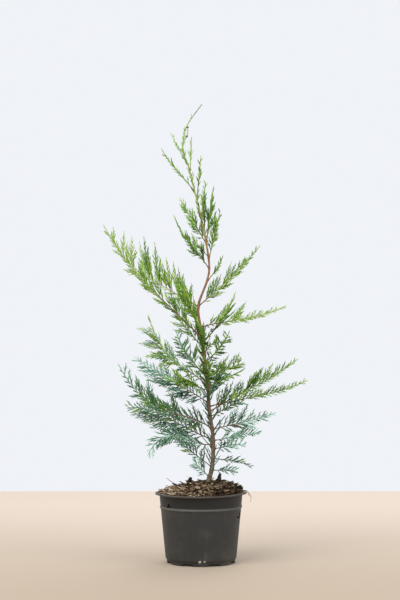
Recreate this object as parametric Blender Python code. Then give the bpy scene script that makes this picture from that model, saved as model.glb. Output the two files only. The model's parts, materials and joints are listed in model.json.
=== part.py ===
"""Young hybrid cypress in a round nursery pot, built as separate solids.

Sizes are written in millimetres and become metres as each mesh is made. The origin is the
centre of the pot's flat underside. X runs to the right, Y away from the viewer and Z up.
"""

import math
import random
from typing import NamedTuple

import bmesh
import bpy
import numpy as np
from mathutils import Vector

MM = 0.001
GAP = 0.3
UP = Vector((0.0, 0.0, 1.0))

# Pot, a tapered plastic cup with a turned-out rim, a raised bead and a set-in foot
POT_HEIGHT = 130.0
POT_SIDES = 40
POT_WALL = 1.6
POT_FLOOR = 2.0
RIM_RADIUS = 85.0
RIM_THICKNESS = 2.4
RIM_DROOP = 0.6
RIM_CHAMFER = 1.0
WALL_TOP_RADIUS = 77.5
WALL_FOOT_RADIUS = 66.0
FOOT_RADIUS = 63.5
FOOT_HEIGHT = 8.0
FOOT_FLARE = 0.5
FOOT_STEP = 0.8
SHOULDER_HEIGHT = 10.4
BEAD_HEIGHT = 103.0
BEAD_WIDTH = 5.0
BEAD_DEPTH = 1.4
BEAD_SLOPE = 1.0
DRAIN_SLOTS = 8
DRAIN_WIDTH = 22.0
DRAIN_HEIGHT = 4.5
DRAIN_DEPTH = 9.0

# Soil, heaped a little above the rim and lumpy with bark
SOIL_PEAK = 148.0
SOIL_EDGE = 128.5
SOIL_HEAP = 1.6
SOIL_RINGS = 7
SOIL_SIDES = 28
SOIL_LUMP = 2.6
SOIL_FLAT_RADIUS = 9.0

# Trunk axis and thickness: height, offset to the right, offset to the back, diameter
TRUNK_SIDES = 7
TRUNK_STATIONS = (
    (148.4, 13.5, 0.0, 11.4),
    (156.0, 15.6, 0.2, 9.0),
    (177.0, 20.7, 1.0, 8.2),
    (211.0, 22.8, 2.0, 7.6),
    (245.0, 21.2, 2.5, 7.2),
    (282.0, 15.5, 1.5, 6.8),
    (326.0, 12.5, -0.5, 6.4),
    (395.0, 5.0, -3.0, 5.8),
    (434.0, -0.4, -3.0, 5.4),
    (477.0, -4.8, -1.0, 5.0),
    (525.0, 11.6, 2.0, 4.4),
    (550.0, 15.5, 3.0, 4.1),
    (592.0, 10.3, 3.5, 3.7),
    (658.0, -3.0, 1.0, 3.0),
    (697.0, -13.4, -1.0, 2.6),
    (739.0, -23.9, -2.0, 2.2),
    (765.0, -33.6, -1.5, 2.0),
    (789.0, -33.1, 0.0, 1.8),
    (817.0, -25.2, 1.5, 1.6),
    (854.0, 0.9, 2.0, 1.2),
)

# Limbs and foliage
SEAT_GAP = GAP + 0.1
SWAY = 0.05
LIMB_SIDES = 6
LIMB_STEP = 9.0
LIMB_LEAST_RADIUS = 1.2
LIMB_RADIUS_PER_LENGTH = 0.0045
LIMB_TAPER = 0.6
STEM_SWELL = 1.15
STEM_TAPER = 0.75
SPINE_KEEL = 0.7
SPRAY_START = 0.5
BRANCH_SPACING = 23.0
BRANCH_ANGLE_JITTER = math.radians(6.0)
BRANCH_FAN_JITTER = math.radians(28.0)
BRANCH_SHORTEST = 9.0
BRANCH_WIDTH = 2.2
BRANCH_BARE = 0.1
BRANCH_TAPER = 0.5
TWIG_SPACING = 14.5
TIP_SPACING = 15.0
JOINT_SPACING = 4.0
TWIG_PAIRS = (1, 5)
TWIG_ANGLE = math.radians(38.0)
TWIG_SHARE = 0.34
TWIG_PEAK = 0.3
TWIG_FADE = 0.8
TWIG_RANGE = (5.5, 15.0)
TWIG_SAMPLES = (0.4, 0.7, 1.0)
SAMPLE_STEP = 3.0
SPACE_MARGIN = 4.0
BRANCH_CLEARANCE = 9.0
TRUNK_CLEARANCE = 7.5
SHORTENING = (1.0, 0.82, 0.66, 0.5, 0.36)
LEAST_UNDER = 0.3
LENGTH_STEPS = 20
BARE_STRETCH = (None, None)
SEED = 4127

PLASTIC = (0.030, 0.031, 0.033)
COMPOST = (0.085, 0.050, 0.028)
BARK = (0.170, 0.092, 0.055)
YOUNG_BARK = (0.230, 0.095, 0.050)
TONES = {
    "lime": (0.235, 0.400, 0.055),
    "green": (0.085, 0.225, 0.045),
    "blue": (0.060, 0.190, 0.120),
}


class Bough(NamedTuple):
    """One bough and the foliage that it bears."""

    name: str
    height: float          # where it leaves the trunk, above the ground
    bearing: float         # degrees from +X, turning away from the viewer
    reach: float           # level distance from the trunk's axis to the tip
    rise: float            # height of the tip over the base
    sag: float             # how far it hangs below the straight line to its tip
    bare: float            # length of bare limb, or 0 where foliage meets the trunk
    spread: float          # longest side branch
    peak: float            # where along the foliage the side branches are longest
    under: float           # side branches below the bough against those above it
    fan: float             # degrees that the fan is laid over, 0 upright and 90 level
    lift: float            # how far the side branches turn up along their length
    tone: str
    angle: float = 38.0    # degrees between the bough and its side branches
    fade: float = 0.8      # how soon the side branches become short beyond their peak


BOUGHS = (
    Bough("left_01", 160, 200, 34, 25, -2, 0, 30, 0.35, 0.8, 20, 0.1, "blue"),
    Bough("left_02", 178, 140, 104, 61, 3, 20, 40, 0.30, 0.5, 35, 0.1, "blue"),
    Bough("left_03", 219, 205, 134, -18, -30, 0, 40, 0.65, 1.1, 45, -0.15, "blue"),
    Bough("left_04", 229, 160, 173, 54, -13, 14, 52, 0.35, 0.9, 30, 0.1, "blue"),
    Bough("left_05", 251, 202, 185, 119, 32, 14, 50, 0.45, 0.6, 20, 0.2, "blue"),
    Bough("left_06", 298, 146, 172, 82, 4, 12, 42, 0.35, 1.4, 40, 0.1, "blue", 38, 1.3),
    Bough("left_07", 330, 212, 129, 131, 28, 30, 36, 0.70, 1.2, 35, 0.1, "lime", 44),
    Bough("left_08", 321, 228, 110, 18, -6, 0, 44, 0.40, 0.9, 65, 0.2, "lime"),
    Bough("left_09", 400, 150, 62, 70, 8, 0, 34, 0.50, 0.4, 35, 0.2, "green", 34),
    Bough("left_10", 404, 240, 42, 76, 4, 0, 30, 0.40, 1.0, 40, 0.1, "lime", 34),
    Bough("left_11", 419, 204, 196, 204, 15, 14, 42, 0.35, 0.8, 25, 0.3, "lime", 36),
    Bough("left_12", 432, 235, 62, 78, 10, 0, 46, 0.40, 0.9, 45, 0.1, "green"),
    Bough("left_13", 477, 146, 128, 62, 2, 22, 32, 0.40, 0.6, 15, 0.7, "green"),
    Bough("left_14", 549, 216, 82, 95, 11, 0, 30, 0.30, 0.6, 30, 0.3, "green", 28),
    Bough("left_15", 572, 150, 36, 34, 2, 0, 18, 0.40, 0.7, 30, 0.2, "green", 30),
    Bough("left_16", 597, 138, 66, 86, 2, 0, 25, 0.35, 1.0, 30, 0.1, "green", 26),
    Bough("left_17", 694, 200, 65, 75, 5, 0, 16, 0.45, 0.7, 25, 0.4, "green", 30),
    Bough("left_18", 749, 160, 31, 53, 2, 0, 10, 0.45, 0.7, 25, 0.2, "lime", 26),
    Bough("right_01", 172, -28, 54, -4, -3, 0, 28, 0.45, 0.6, 35, 0.0, "blue"),
    Bough("right_02", 193, 10, 74, -20, -6, 0, 24, 0.40, 0.6, 40, 0.1, "blue"),
    Bough("right_03", 211, -42, 80, 10, -4, 0, 32, 0.35, 0.8, 45, 0.1, "blue"),
    Bough("right_04", 226, 36, 112, 8, -4, 0, 32, 0.35, 0.8, 40, 0.1, "blue"),
    Bough("right_05", 247, -26, 130, 34, 2, 12, 38, 0.25, 0.9, 25, 0.2, "blue", 38, 1.4),
    Bough("right_06", 272, -44, 96, 24, -8, 0, 28, 0.40, 0.7, 45, 0.1, "green", 32),
    Bough("right_07", 290, -26, 198, 51, 6, 26, 28, 0.35, 0.4, 25, 0.3, "green", 30, 1.0),
    Bough("right_08", 281, 26, 189, 95, 6, 14, 56, 0.15, 0.3, 20, 0.3, "green", 34, 1.6),
    Bough("right_09", 328, 30, 76, 27, 0, 0, 34, 0.45, 0.8, 50, 0.1, "green"),
    Bough("right_10", 348, -30, 80, 24, 0, 0, 42, 0.40, 0.8, 50, 0.2, "lime"),
    Bough("right_11", 392, 15, 28, 28, 0, 0, 14, 0.40, 0.8, 35, 0.1, "green", 34),
    Bough("right_12", 438, 32, 195, 41, 7, 14, 30, 0.25, 0.7, 15, 0.2, "lime", 34, 1.6),
    Bough("right_13", 479, -36, 138, 106, 2, 12, 42, 0.15, 0.7, 20, 0.2, "green", 28, 1.8),
    Bough("right_14", 526, 30, 34, 46, 5, 0, 17, 0.45, 0.7, 25, 0.2, "green", 28),
    Bough("right_15", 567, -50, 33, 87, 4, 0, 24, 0.50, 0.8, 35, 0.1, "green", 28),
    Bough("right_16", 597, 50, 22, 106, 6, 0, 26, 0.45, 1.0, 45, 0.1, "green", 26),
    Bough("right_17", 647, -50, 14, 60, 3, 0, 15, 0.45, 0.8, 30, 0.1, "green", 28),
    Bough("right_18", 681, 10, 9, 78, 4, 0, 16, 0.45, 0.8, 30, 0.1, "green", 26),
    Bough("right_19", 731, 20, 4, 62, 4, 0, 12, 0.50, 0.8, 20, 0.1, "lime", 26),
    Bough("back_01", 304, 82, 150, 62, 4, 0, 46, 0.45, 0.8, 55, 0.1, "blue"),
    Bough("back_02", 345, 114, 148, 88, 8, 0, 46, 0.45, 0.7, 45, 0.2, "green"),
    Bough("back_03", 408, 60, 122, 92, 6, 0, 40, 0.45, 0.7, 45, 0.2, "green"),
    Bough("back_04", 440, 118, 88, 92, 6, 0, 38, 0.45, 0.7, 40, 0.2, "green"),
    Bough("back_05", 612, 98, 36, 82, 4, 0, 24, 0.45, 0.8, 40, 0.1, "green", 30),
    Bough("front_01", 330, 274, 125, 46, 0, 0, 36, 0.45, 0.8, 60, 0.1, "green"),
    Bough("front_02", 372, 294, 108, 58, 2, 0, 34, 0.45, 0.8, 50, 0.1, "green"),
    Bough("front_03", 388, 262, 86, 66, 4, 0, 30, 0.45, 0.8, 50, 0.1, "green"),
)

# Side branches that stand out: their bough, where along its foliage, how long,
# and the degrees above the bough, or below it
FEATHERS = (
    ("left_05", 0.35, 36.0, 62.0),
    ("left_05", 0.64, 46.0, 50.0),
    ("left_05", 0.76, 21.0, -58.0),
    ("left_06", 0.08, 30.0, -50.0),
    ("left_06", 0.18, 34.0, -50.0),
    ("left_07", 0.50, 30.0, -64.0),
    ("left_07", 0.62, 34.0, -64.0),
    ("left_07", 0.74, 28.0, -62.0),
    ("left_11", 0.68, 52.0, 40.0),
    ("left_11", 0.78, 40.0, 40.0),
    ("left_11", 0.88, 26.0, 30.0),
    ("left_13", 0.06, 26.0, 52.0),
    ("left_13", 0.20, 30.0, 50.0),
    ("left_13", 0.38, 50.0, 48.0),
    ("left_13", 0.50, 48.0, 44.0),
    ("left_13", 0.62, 30.0, 44.0),
    ("left_13", 0.80, 48.0, 42.0),
    ("left_13", 0.93, 52.0, 44.0),
    ("right_05", 0.12, 44.0, 42.0),
    ("right_05", 0.30, 40.0, 42.0),
    ("right_08", 0.03, 42.0, 36.0),
    ("right_12", 0.03, 20.0, 50.0),
    ("right_12", 0.10, 60.0, 33.0),
    ("right_12", 0.34, 46.0, 38.0),
    ("right_13", 0.05, 36.0, 32.0),
    ("right_13", 0.08, 35.0, -28.0),
)


def smooth_between(stations, height):
    """Return the values of the stations at a height, on a smooth cubic curve through them."""
    heights = [row[0] for row in stations]
    height = min(max(height, heights[0]), heights[-1])
    index = min(np.searchsorted(heights, height, side="right") - 1, len(stations) - 2)
    before = stations[max(index - 1, 0)]
    start = stations[index]
    end = stations[index + 1]
    after = stations[min(index + 2, len(stations) - 1)]
    span = end[0] - start[0]
    u = (height - start[0]) / span
    values = []
    for column in range(1, len(start)):
        slope_in = (end[column] - before[column]) / (end[0] - before[0]) * span
        slope_out = (after[column] - start[column]) / (after[0] - start[0]) * span
        a = 2.0 * start[column] - 2.0 * end[column] + slope_in + slope_out
        b = 3.0 * end[column] - 3.0 * start[column] - 2.0 * slope_in - slope_out
        values.append(((a * u + b) * u + slope_in) * u + start[column])
    return values


def trunk_axis(height):
    """Return the middle of the trunk at a height above the ground."""
    across, back, _ = smooth_between(TRUNK_STATIONS, height)
    return Vector((across, back, height))


def trunk_direction(height):
    """Return the direction in which the trunk grows at a height above the ground."""
    step = 4.0
    return (trunk_axis(height + step) - trunk_axis(height - step)).normalized()


def trunk_radius(height):
    """Return the trunk's radius at a height above the ground."""
    return smooth_between(TRUNK_STATIONS, height)[2] / 2.0


class Curve:
    """A smooth path measured from 0 at its base to 1 at its tip, with its own directions."""

    def __init__(self, point_at, broad):
        self.point_at = point_at
        self.broad = broad
        places = [point_at(i / LENGTH_STEPS) for i in range(LENGTH_STEPS + 1)]
        self.length = sum((two - one).length for one, two in zip(places, places[1:]))

    def along(self, t):
        """Return the direction of growth at t."""
        step = 0.02
        ahead = self.point_at(min(t + step, 1.0))
        return (ahead - self.point_at(max(t - step, 0.0))).normalized()

    def frame(self, t):
        """Return the directions along the path, across it in its spray's plane, and off that."""
        forward = self.along(t)
        across = (self.broad - forward * self.broad.dot(forward)).normalized()
        return forward, across, forward.cross(across)

    def places(self, start, end, step):
        """Return fractions of the path from start to end, about one step apart."""
        count = max(2, round((end - start) * self.length / step) + 1)
        return [start + (end - start) * i / (count - 1) for i in range(count)]

    def samples(self, start=0.0):
        """Return points along the path, close enough to measure its distance from others."""
        return np.array([self.point_at(t)[:] for t in self.places(start, 1.0, SAMPLE_STEP)])


def envelope(place, peak, fade):
    """Return the length of side shoots at a place along their stem, with 1 the longest."""
    if place < peak:
        return 0.65 + 0.35 * math.sin(math.pi / 2.0 * max(place, 0.0) / peak)
    return 0.16 + 0.84 * math.cos(math.pi / 2.0 * (place - peak) / (1.0 - peak)) ** fade


def nearest(points, others):
    """Return the least distance from each point to a cloud of other points."""
    return np.sqrt(((points[:, None, :] - others[None, :, :]) ** 2).sum(axis=2)).min(axis=1)


class Skeleton:
    """The stem and side branches of one mass of foliage, with the limb that bears it."""

    def __init__(self, bough):
        self.bough = bough
        self.radius = LIMB_LEAST_RADIUS + LIMB_RADIUS_PER_LENGTH * math.hypot(bough.reach, bough.rise)
        self.stem = self.stem_curve()
        self.bare = bough.bare / self.stem.length
        self.start = self.bare + (GAP / self.stem.length if bough.bare else 0.0)
        self.branches = []
        self.joints = []
        self.cloud = self.stem.samples()

    def stem_curve(self):
        """Return the path of the bough from just clear of the trunk to its tip."""
        bough = self.bough
        bearing = math.radians(bough.bearing)
        outward = Vector((math.cos(bearing), math.sin(bearing), 0.0))
        axis = trunk_axis(bough.height)
        grain = trunk_direction(bough.height)
        self.side = outward.cross(UP)
        self.facing = (outward - grain * outward.dot(grain)).normalized()
        base = axis + self.facing * (trunk_radius(bough.height) + SEAT_GAP)
        tip = axis + outward * bough.reach + UP * bough.rise
        sway = self.side * bough.reach * random.Random(bough.name).uniform(-SWAY, SWAY)

        def point_at(t):
            hang = bough.sag * t * t * (1.0 - t) * 27.0 / 4.0
            return base.lerp(tip, t) - UP * hang + sway * math.sin(math.pi * t)

        return Curve(point_at, UP)

    def place_on_stem(self, share):
        """Return the fraction of the whole bough at a share of its foliage."""
        return self.start + (1.0 - self.start) * share

    def wanted_branches(self):
        """Yield where each side branch leaves the stem, its direction and its full length."""
        bough = self.bough
        for name, share, length, angle in FEATHERS:
            if name == bough.name:
                joint = self.place_on_stem(share)
                forward = self.stem.along(joint)
                over = self.side.cross(forward).normalized()
                turn = math.radians(angle)
                yield joint, forward * math.cos(turn) + over * math.sin(turn), length
        rng = random.Random(f"{SEED} {bough.name}")
        foliage = (1.0 - self.start) * self.stem.length
        count = max(3, round(foliage / BRANCH_SPACING))
        for number in range(count):
            share = (number + 0.7) / (count + 0.35)
            joint = self.place_on_stem(share)
            forward = self.stem.along(joint)
            over = self.side.cross(forward).normalized()
            fan = math.radians(bough.fan) + rng.uniform(-1.0, 1.0) * BRANCH_FAN_JITTER
            swing = over * math.cos(fan) + self.side * math.sin(fan)
            angle = math.radians(bough.angle) + rng.uniform(-1.0, 1.0) * BRANCH_ANGLE_JITTER
            length = bough.spread * envelope(share, bough.peak, bough.fade)
            length *= rng.uniform(0.85, 1.1)
            if number % 2:
                swing = -swing
                length *= max(bough.under, LEAST_UNDER)
            direction = forward * math.cos(angle) + swing * math.sin(angle)
            yield joint, direction, max(length, BRANCH_SHORTEST)

    def branch_curve(self, joint, direction, length):
        """Return the path of a side branch that turns up, or down, along its length."""
        base = self.stem.point_at(joint)
        lift = UP * self.bough.lift / 2.0
        return Curve(lambda t: base + (direction * t + lift * t * t) * length,
                     self.stem.along(joint))

    def grow(self, foreign, trunk):
        """Add the side branches, shortened or left out where they would meet another mass."""
        for joint, direction, length in self.wanted_branches():
            for share in SHORTENING:
                branch = self.branch_curve(joint, direction, length * share)
                sample = branch.samples(BRANCH_BARE)
                if nearest(sample, trunk).min() < TRUNK_CLEARANCE:
                    continue
                if nearest(sample, foreign).min() < BRANCH_CLEARANCE:
                    continue
                if length * share > BRANCH_SHORTEST * 0.8:
                    self.branches.append(branch)
                    self.joints.append(joint)
                    self.cloud = np.concatenate([self.cloud, branch.samples()])
                break


class Crown:
    """The skeletons of all the masses, which share out the space round the trunk."""

    def __init__(self):
        heights = np.arange(TRUNK_STATIONS[0][0], TRUNK_STATIONS[-1][0], SAMPLE_STEP)
        self.trunk = np.array([trunk_axis(height)[:] for height in heights])
        self.skeletons = [Skeleton(bough) for bough in BOUGHS]
        for skeleton in sorted(self.skeletons, key=lambda item: -item.stem.length):
            skeleton.grow(self.foreign(skeleton), self.trunk)

    def foreign(self, skeleton):
        """Return points on the limbs and side branches of every other mass."""
        return np.concatenate([other.cloud for other in self.skeletons if other is not skeleton])

    def in_own_space(self, points, skeleton, foreign):
        """Tell whether points lie clear of the trunk and nearer to their own skeleton."""
        margin = nearest(points, foreign) - nearest(points, skeleton.cloud)
        return margin.min() > SPACE_MARGIN and nearest(points, self.trunk).min() > TRUNK_CLEARANCE


class Spray:
    """The twigs of one mass, each kept inside that mass's own space."""

    def __init__(self, skeleton, crown):
        self.skeleton = skeleton
        self.crown = crown
        self.foreign = crown.foreign(skeleton)
        self.rng = random.Random(f"{SEED} twigs {skeleton.bough.name}")

    def twig_tip(self, root, direction, length):
        """Return the tip of a twig, shortened until it fits, or None where none does."""
        for share in SHORTENING:
            reach = direction * length * share
            sample = np.array([(root + reach * part)[:] for part in TWIG_SAMPLES])
            if self.crown.in_own_space(sample, self.skeleton, self.foreign):
                return root + reach
        return None

    def twig_pairs(self, curve, notches, full):
        """Return the tips of the pair of twigs between each two notches along a curve."""
        shortest, longest = TWIG_RANGE
        pairs = []
        for t, after in zip(notches, notches[1:]):
            root = curve.point_at((t + after) / 2.0)
            forward, across, _ = curve.frame(t)
            place = (t - notches[0]) / (1.0 - notches[0])
            length = full * TWIG_SHARE * envelope(place, TWIG_PEAK, TWIG_FADE)
            length *= self.rng.uniform(0.85, 1.15)
            length = min(max(length, shortest), longest)
            ahead = forward * math.cos(TWIG_ANGLE)
            aside = across * math.sin(TWIG_ANGLE)
            pairs.append([self.twig_tip(root, ahead + aside, length),
                          self.twig_tip(root, ahead - aside, length)])
        return pairs

    def branch_mesh(self, branch):
        """Return a side branch with its twigs, its root sunk in the stem."""
        low, high = TWIG_PAIRS
        count = min(max(round(branch.length / TWIG_SPACING), low), high)
        step = (1.0 - BRANCH_BARE) / (count + 0.6)
        notches = [BRANCH_BARE + step * i for i in range(count + 1)]
        pairs = self.twig_pairs(branch, notches, branch.length)

        def half_width_at(t):
            swell = min(1.0, 0.55 + t / BRANCH_BARE / 2.0)
            return BRANCH_WIDTH / 2.0 * swell * (1.0 - BRANCH_TAPER * t)

        return toothed_blade(branch, [0.0] + notches, [BARE_STRETCH] + pairs, half_width_at)

    def stem_mesh(self):
        """Return the stem, whose outer stretch bears twigs as the side branches do.

        Its sections lie where the side branches are rooted, and further out between them too.
        """
        skeleton = self.skeleton
        middle = skeleton.place_on_stem(SPRAY_START)
        joints = [skeleton.start]
        for joint in sorted(skeleton.joints):
            if (joint - joints[-1]) * skeleton.stem.length > JOINT_SPACING:
                joints.append(joint)
        inner = [t for t in joints if t < middle]
        outer = [t for t in joints if t >= middle] + [1.0]
        between = [(one + two) / 2.0 for one, two in zip(outer, outer[1:])
                   if (two - one) * skeleton.stem.length > TIP_SPACING]
        outer = sorted(outer[:-1] + between)
        full = (1.0 - middle) * skeleton.stem.length
        pairs = self.twig_pairs(skeleton.stem, outer, full)
        first = None if skeleton.bough.bare else skeleton.facing
        return toothed_blade(skeleton.stem, inner + outer, [BARE_STRETCH] * len(inner) + pairs,
                             lambda t: skeleton.radius * (STEM_SWELL - STEM_TAPER * t), first)


def tube(centres, radii, normals, sides):
    """Return a closed tapering tube as a bmesh, its rings square to the given directions."""
    mesh = bmesh.new()
    rings = []
    guide = Vector((0.31, 0.87, 0.38))
    for centre, radius, normal in zip(centres, radii, normals):
        guide = (guide - normal * guide.dot(normal)).normalized()
        side = normal.cross(guide)
        angles = [math.tau * number / sides for number in range(sides)]
        rings.append([
            mesh.verts.new((centre + (guide * math.cos(a) + side * math.sin(a)) * radius) * MM)
            for a in angles
        ])
    mesh.faces.new(reversed(rings[0]))
    mesh.faces.new(rings[-1])
    for lower, upper in zip(rings, rings[1:]):
        bridge(mesh, lower, upper)
    bmesh.ops.recalc_face_normals(mesh, faces=mesh.faces)
    return mesh


def bridge(mesh, lower, upper):
    """Join two rings of the same number of corners by four-sided faces."""
    for number in range(len(lower)):
        after = (number + 1) % len(lower)
        mesh.faces.new((lower[number], lower[after], upper[after], upper[number]))


def toothed_blade(curve, notches, twigs, half_width_at, first_normal=None):
    """Return a three-sided spine along a curve, whose twigs stand out from it as flat teeth.

    Its sections lie at the notches, and a pair of twig tips, or of None, goes between two.
    """
    mesh = bmesh.new()
    sections = []
    for t in notches:
        _, across, face = curve.frame(t)
        if first_normal is not None and t == notches[0]:
            across = (across - first_normal * across.dot(first_normal)).normalized()
            face = first_normal.cross(across)
        half = half_width_at(t)
        keel = face * half * SPINE_KEEL
        corners = (across * half - keel / 2.0, keel, -across * half - keel / 2.0)
        sections.append([mesh.verts.new((curve.point_at(t) + corner) * MM) for corner in corners])
    for lower, upper, tips in zip(sections, sections[1:], twigs):
        for corner, tip in enumerate((*tips, None)):
            after = (corner + 1) % 3
            border = (lower[corner], lower[after], upper[after], upper[corner])
            if tip is None:
                mesh.faces.new(border)
                continue
            point = mesh.verts.new(tip * MM)
            for one, two in zip(border, border[1:] + border[:1]):
                mesh.faces.new((one, two, point))
    mesh.faces.new(reversed(sections[0]))
    end = mesh.verts.new(curve.point_at(1.0) * MM)
    for corner in range(3):
        mesh.faces.new((sections[-1][corner], sections[-1][(corner + 1) % 3], end))
    bmesh.ops.recalc_face_normals(mesh, faces=mesh.faces)
    return mesh


def material(name, colour, roughness, metallic=0.0):
    """Return a plain Principled material."""
    made = bpy.data.materials.new(name)
    made.use_nodes = True
    shader = made.node_tree.nodes["Principled BSDF"]
    shader.inputs["Base Color"].default_value = (*colour, 1.0)
    shader.inputs["Roughness"].default_value = roughness
    shader.inputs["Metallic"].default_value = metallic
    made.diffuse_color = (*colour, 1.0)
    return made


def add_object(name, mesh, skin, collection=None):
    """Turn a bmesh into an object of the scene, with its own material."""
    data = bpy.data.meshes.new(name)
    mesh.to_mesh(data)
    mesh.free()
    thing = bpy.data.objects.new(name, data)
    (collection or bpy.context.scene.collection).objects.link(thing)
    if skin is not None:
        data.materials.append(skin)
    return thing


def smooth_round_faces(thing, degrees):
    """Shade the round faces smooth and keep edges sharper than the angle."""
    thing.data.shade_smooth()
    thing.data.set_sharp_from_angle(angle=math.radians(degrees))


def wall_radius(height):
    """Return the outer radius of the pot's tapered wall at a height."""
    share = (height - FOOT_HEIGHT) / (POT_HEIGHT - FOOT_HEIGHT)
    return WALL_FOOT_RADIUS + (WALL_TOP_RADIUS - WALL_FOOT_RADIUS) * share


def inner_radius(height):
    """Return the radius of the pot's cavity at a height."""
    return wall_radius(height) - POT_WALL if height > FOOT_HEIGHT else FOOT_RADIUS - POT_WALL


def turned(profile, sides):
    """Return the solid of revolution of a closed outline that starts and ends on the axis."""
    mesh = bmesh.new()
    rings = []
    for radius, height in profile:
        if radius == 0.0:
            rings.append([mesh.verts.new((0.0, 0.0, height * MM))])
            continue
        ring = []
        for number in range(sides):
            angle = math.tau * number / sides
            place = Vector((radius * math.cos(angle), radius * math.sin(angle), height))
            ring.append(mesh.verts.new(place * MM))
        rings.append(ring)
    for one, two in zip(rings, rings[1:]):
        for number in range(sides):
            after = (number + 1) % sides
            corners = [one[number % len(one)], one[after % len(one)],
                       two[after % len(two)], two[number % len(two)]]
            mesh.faces.new(list(dict.fromkeys(corners)))
    bmesh.ops.recalc_face_normals(mesh, faces=mesh.faces)
    return mesh


def make_pot():
    """Make the pot with its rim, bead, foot and the drainage slots round its bottom edge."""
    lip = POT_HEIGHT - RIM_THICKNESS
    bead_low = BEAD_HEIGHT - BEAD_WIDTH / 2.0
    bead_high = BEAD_HEIGHT + BEAD_WIDTH / 2.0
    profile = [
        (0.0, 0.0),
        (FOOT_RADIUS, 0.0),
        (FOOT_RADIUS + FOOT_FLARE, FOOT_HEIGHT),
        (wall_radius(FOOT_HEIGHT), FOOT_HEIGHT + FOOT_STEP),
        (wall_radius(bead_low), bead_low),
        (wall_radius(bead_low) + BEAD_DEPTH, bead_low + BEAD_SLOPE),
        (wall_radius(bead_high) + BEAD_DEPTH, bead_high - BEAD_SLOPE),
        (wall_radius(bead_high), bead_high),
        (wall_radius(lip), lip),
        (RIM_RADIUS, lip - RIM_DROOP),
        (RIM_RADIUS, POT_HEIGHT - RIM_CHAMFER / 2.0),
        (RIM_RADIUS - RIM_CHAMFER, POT_HEIGHT),
        (inner_radius(POT_HEIGHT), POT_HEIGHT),
        (inner_radius(SHOULDER_HEIGHT), SHOULDER_HEIGHT),
        (inner_radius(FOOT_HEIGHT), FOOT_HEIGHT),
        (inner_radius(FOOT_HEIGHT), POT_FLOOR),
        (0.0, POT_FLOOR),
    ]
    pot = add_object("pot", turned(profile, POT_SIDES), material("pot plastic", PLASTIC, 0.55))
    cutters = bpy.data.collections.new("drain slots")
    bpy.context.scene.collection.children.link(cutters)
    for number in range(DRAIN_SLOTS):
        angle = math.tau * (number + 0.5) / DRAIN_SLOTS
        block = bmesh.new()
        bmesh.ops.create_cube(block, size=1.0)
        bmesh.ops.scale(block, vec=Vector((DRAIN_DEPTH, DRAIN_WIDTH, DRAIN_HEIGHT * 2.0)) * MM,
                        verts=block.verts)
        cutter = add_object(f"drain slot {number + 1}", block, None, cutters)
        cutter.location = Vector((math.cos(angle), math.sin(angle), 0.0)) * FOOT_RADIUS * MM
        cutter.rotation_euler.z = angle
    join_collection(pot, cutters, "DIFFERENCE")
    smooth_round_faces(pot, 30.0)
    return pot


def is_closed(data):
    """Tell whether every edge of a mesh lies between just two faces."""
    mesh = bmesh.new()
    mesh.from_mesh(data)
    closed = all(len(edge.link_faces) == 2 for edge in mesh.edges)
    mesh.free()
    return closed


def join_collection(thing, collection, operation):
    """Apply one Boolean of a whole collection to an object, then remove the collection.

    The exact solver is used, and the manifold one where that leaves an open edge.
    """
    modifier = thing.modifiers.new("join", "BOOLEAN")
    modifier.operand_type = "COLLECTION"
    modifier.collection = collection
    modifier.operation = operation
    for solver in ("EXACT", "MANIFOLD"):
        modifier.solver = solver
        bpy.context.view_layer.update()
        result = thing.evaluated_get(bpy.context.evaluated_depsgraph_get())
        data = bpy.data.meshes.new_from_object(result)
        if is_closed(data):
            break
    thing.modifiers.clear()
    old = thing.data
    thing.data = data
    bpy.data.meshes.remove(old)
    for part in list(collection.objects):
        bpy.data.objects.remove(part)
    bpy.data.collections.remove(collection)


def soil_height(radius):
    """Return the height of the heaped soil at a distance from the trunk's foot."""
    share = radius / inner_radius(POT_HEIGHT)
    return SOIL_EDGE + (SOIL_PEAK - SOIL_EDGE) * (1.0 - share ** SOIL_HEAP)


def soil_rings(rng):
    """Yield the rings of the soil from its flat spot down to its base: centre, radii, heights."""
    foot = trunk_axis(SOIL_PEAK)
    level = [0.0] * SOIL_SIDES
    edge = inner_radius(SOIL_EDGE) - GAP
    yield foot.xy, SOIL_FLAT_RADIUS, SOIL_PEAK, level
    for number in range(1, SOIL_RINGS):
        share = number / SOIL_RINGS
        radius = SOIL_FLAT_RADIUS + (edge - SOIL_FLAT_RADIUS) * share
        lumps = [rng.uniform(-1.0, 1.0) * SOIL_LUMP for _ in range(SOIL_SIDES)]
        yield foot.xy * (1.0 - share), radius, soil_height(radius), lumps
    middle = Vector((0.0, 0.0))
    yield middle, edge, SOIL_EDGE, level
    yield middle, inner_radius(SHOULDER_HEIGHT) - GAP, SHOULDER_HEIGHT + GAP, level
    yield middle, inner_radius(FOOT_HEIGHT) - GAP, FOOT_HEIGHT, level
    yield middle, inner_radius(FOOT_HEIGHT) - GAP, POT_FLOOR + GAP, level


def make_soil():
    """Make the soil that fills the pot, with a flat spot under the trunk."""
    mesh = bmesh.new()
    rings = []
    for centre, radius, height, lumps in soil_rings(random.Random(SEED)):
        ring = []
        for number, lump in enumerate(lumps):
            angle = math.tau * number / SOIL_SIDES
            place = (centre.x + radius * math.cos(angle), centre.y + radius * math.sin(angle))
            ring.append(mesh.verts.new(Vector((*place, height + lump)) * MM))
        rings.append(ring)
    mesh.faces.new(rings[0])
    mesh.faces.new(reversed(rings[-1]))
    for upper, lower in zip(rings, rings[1:]):
        bridge(mesh, upper, lower)
    bmesh.ops.recalc_face_normals(mesh, faces=mesh.faces)
    return add_object("soil", mesh, material("compost", COMPOST, 0.95))


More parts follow.
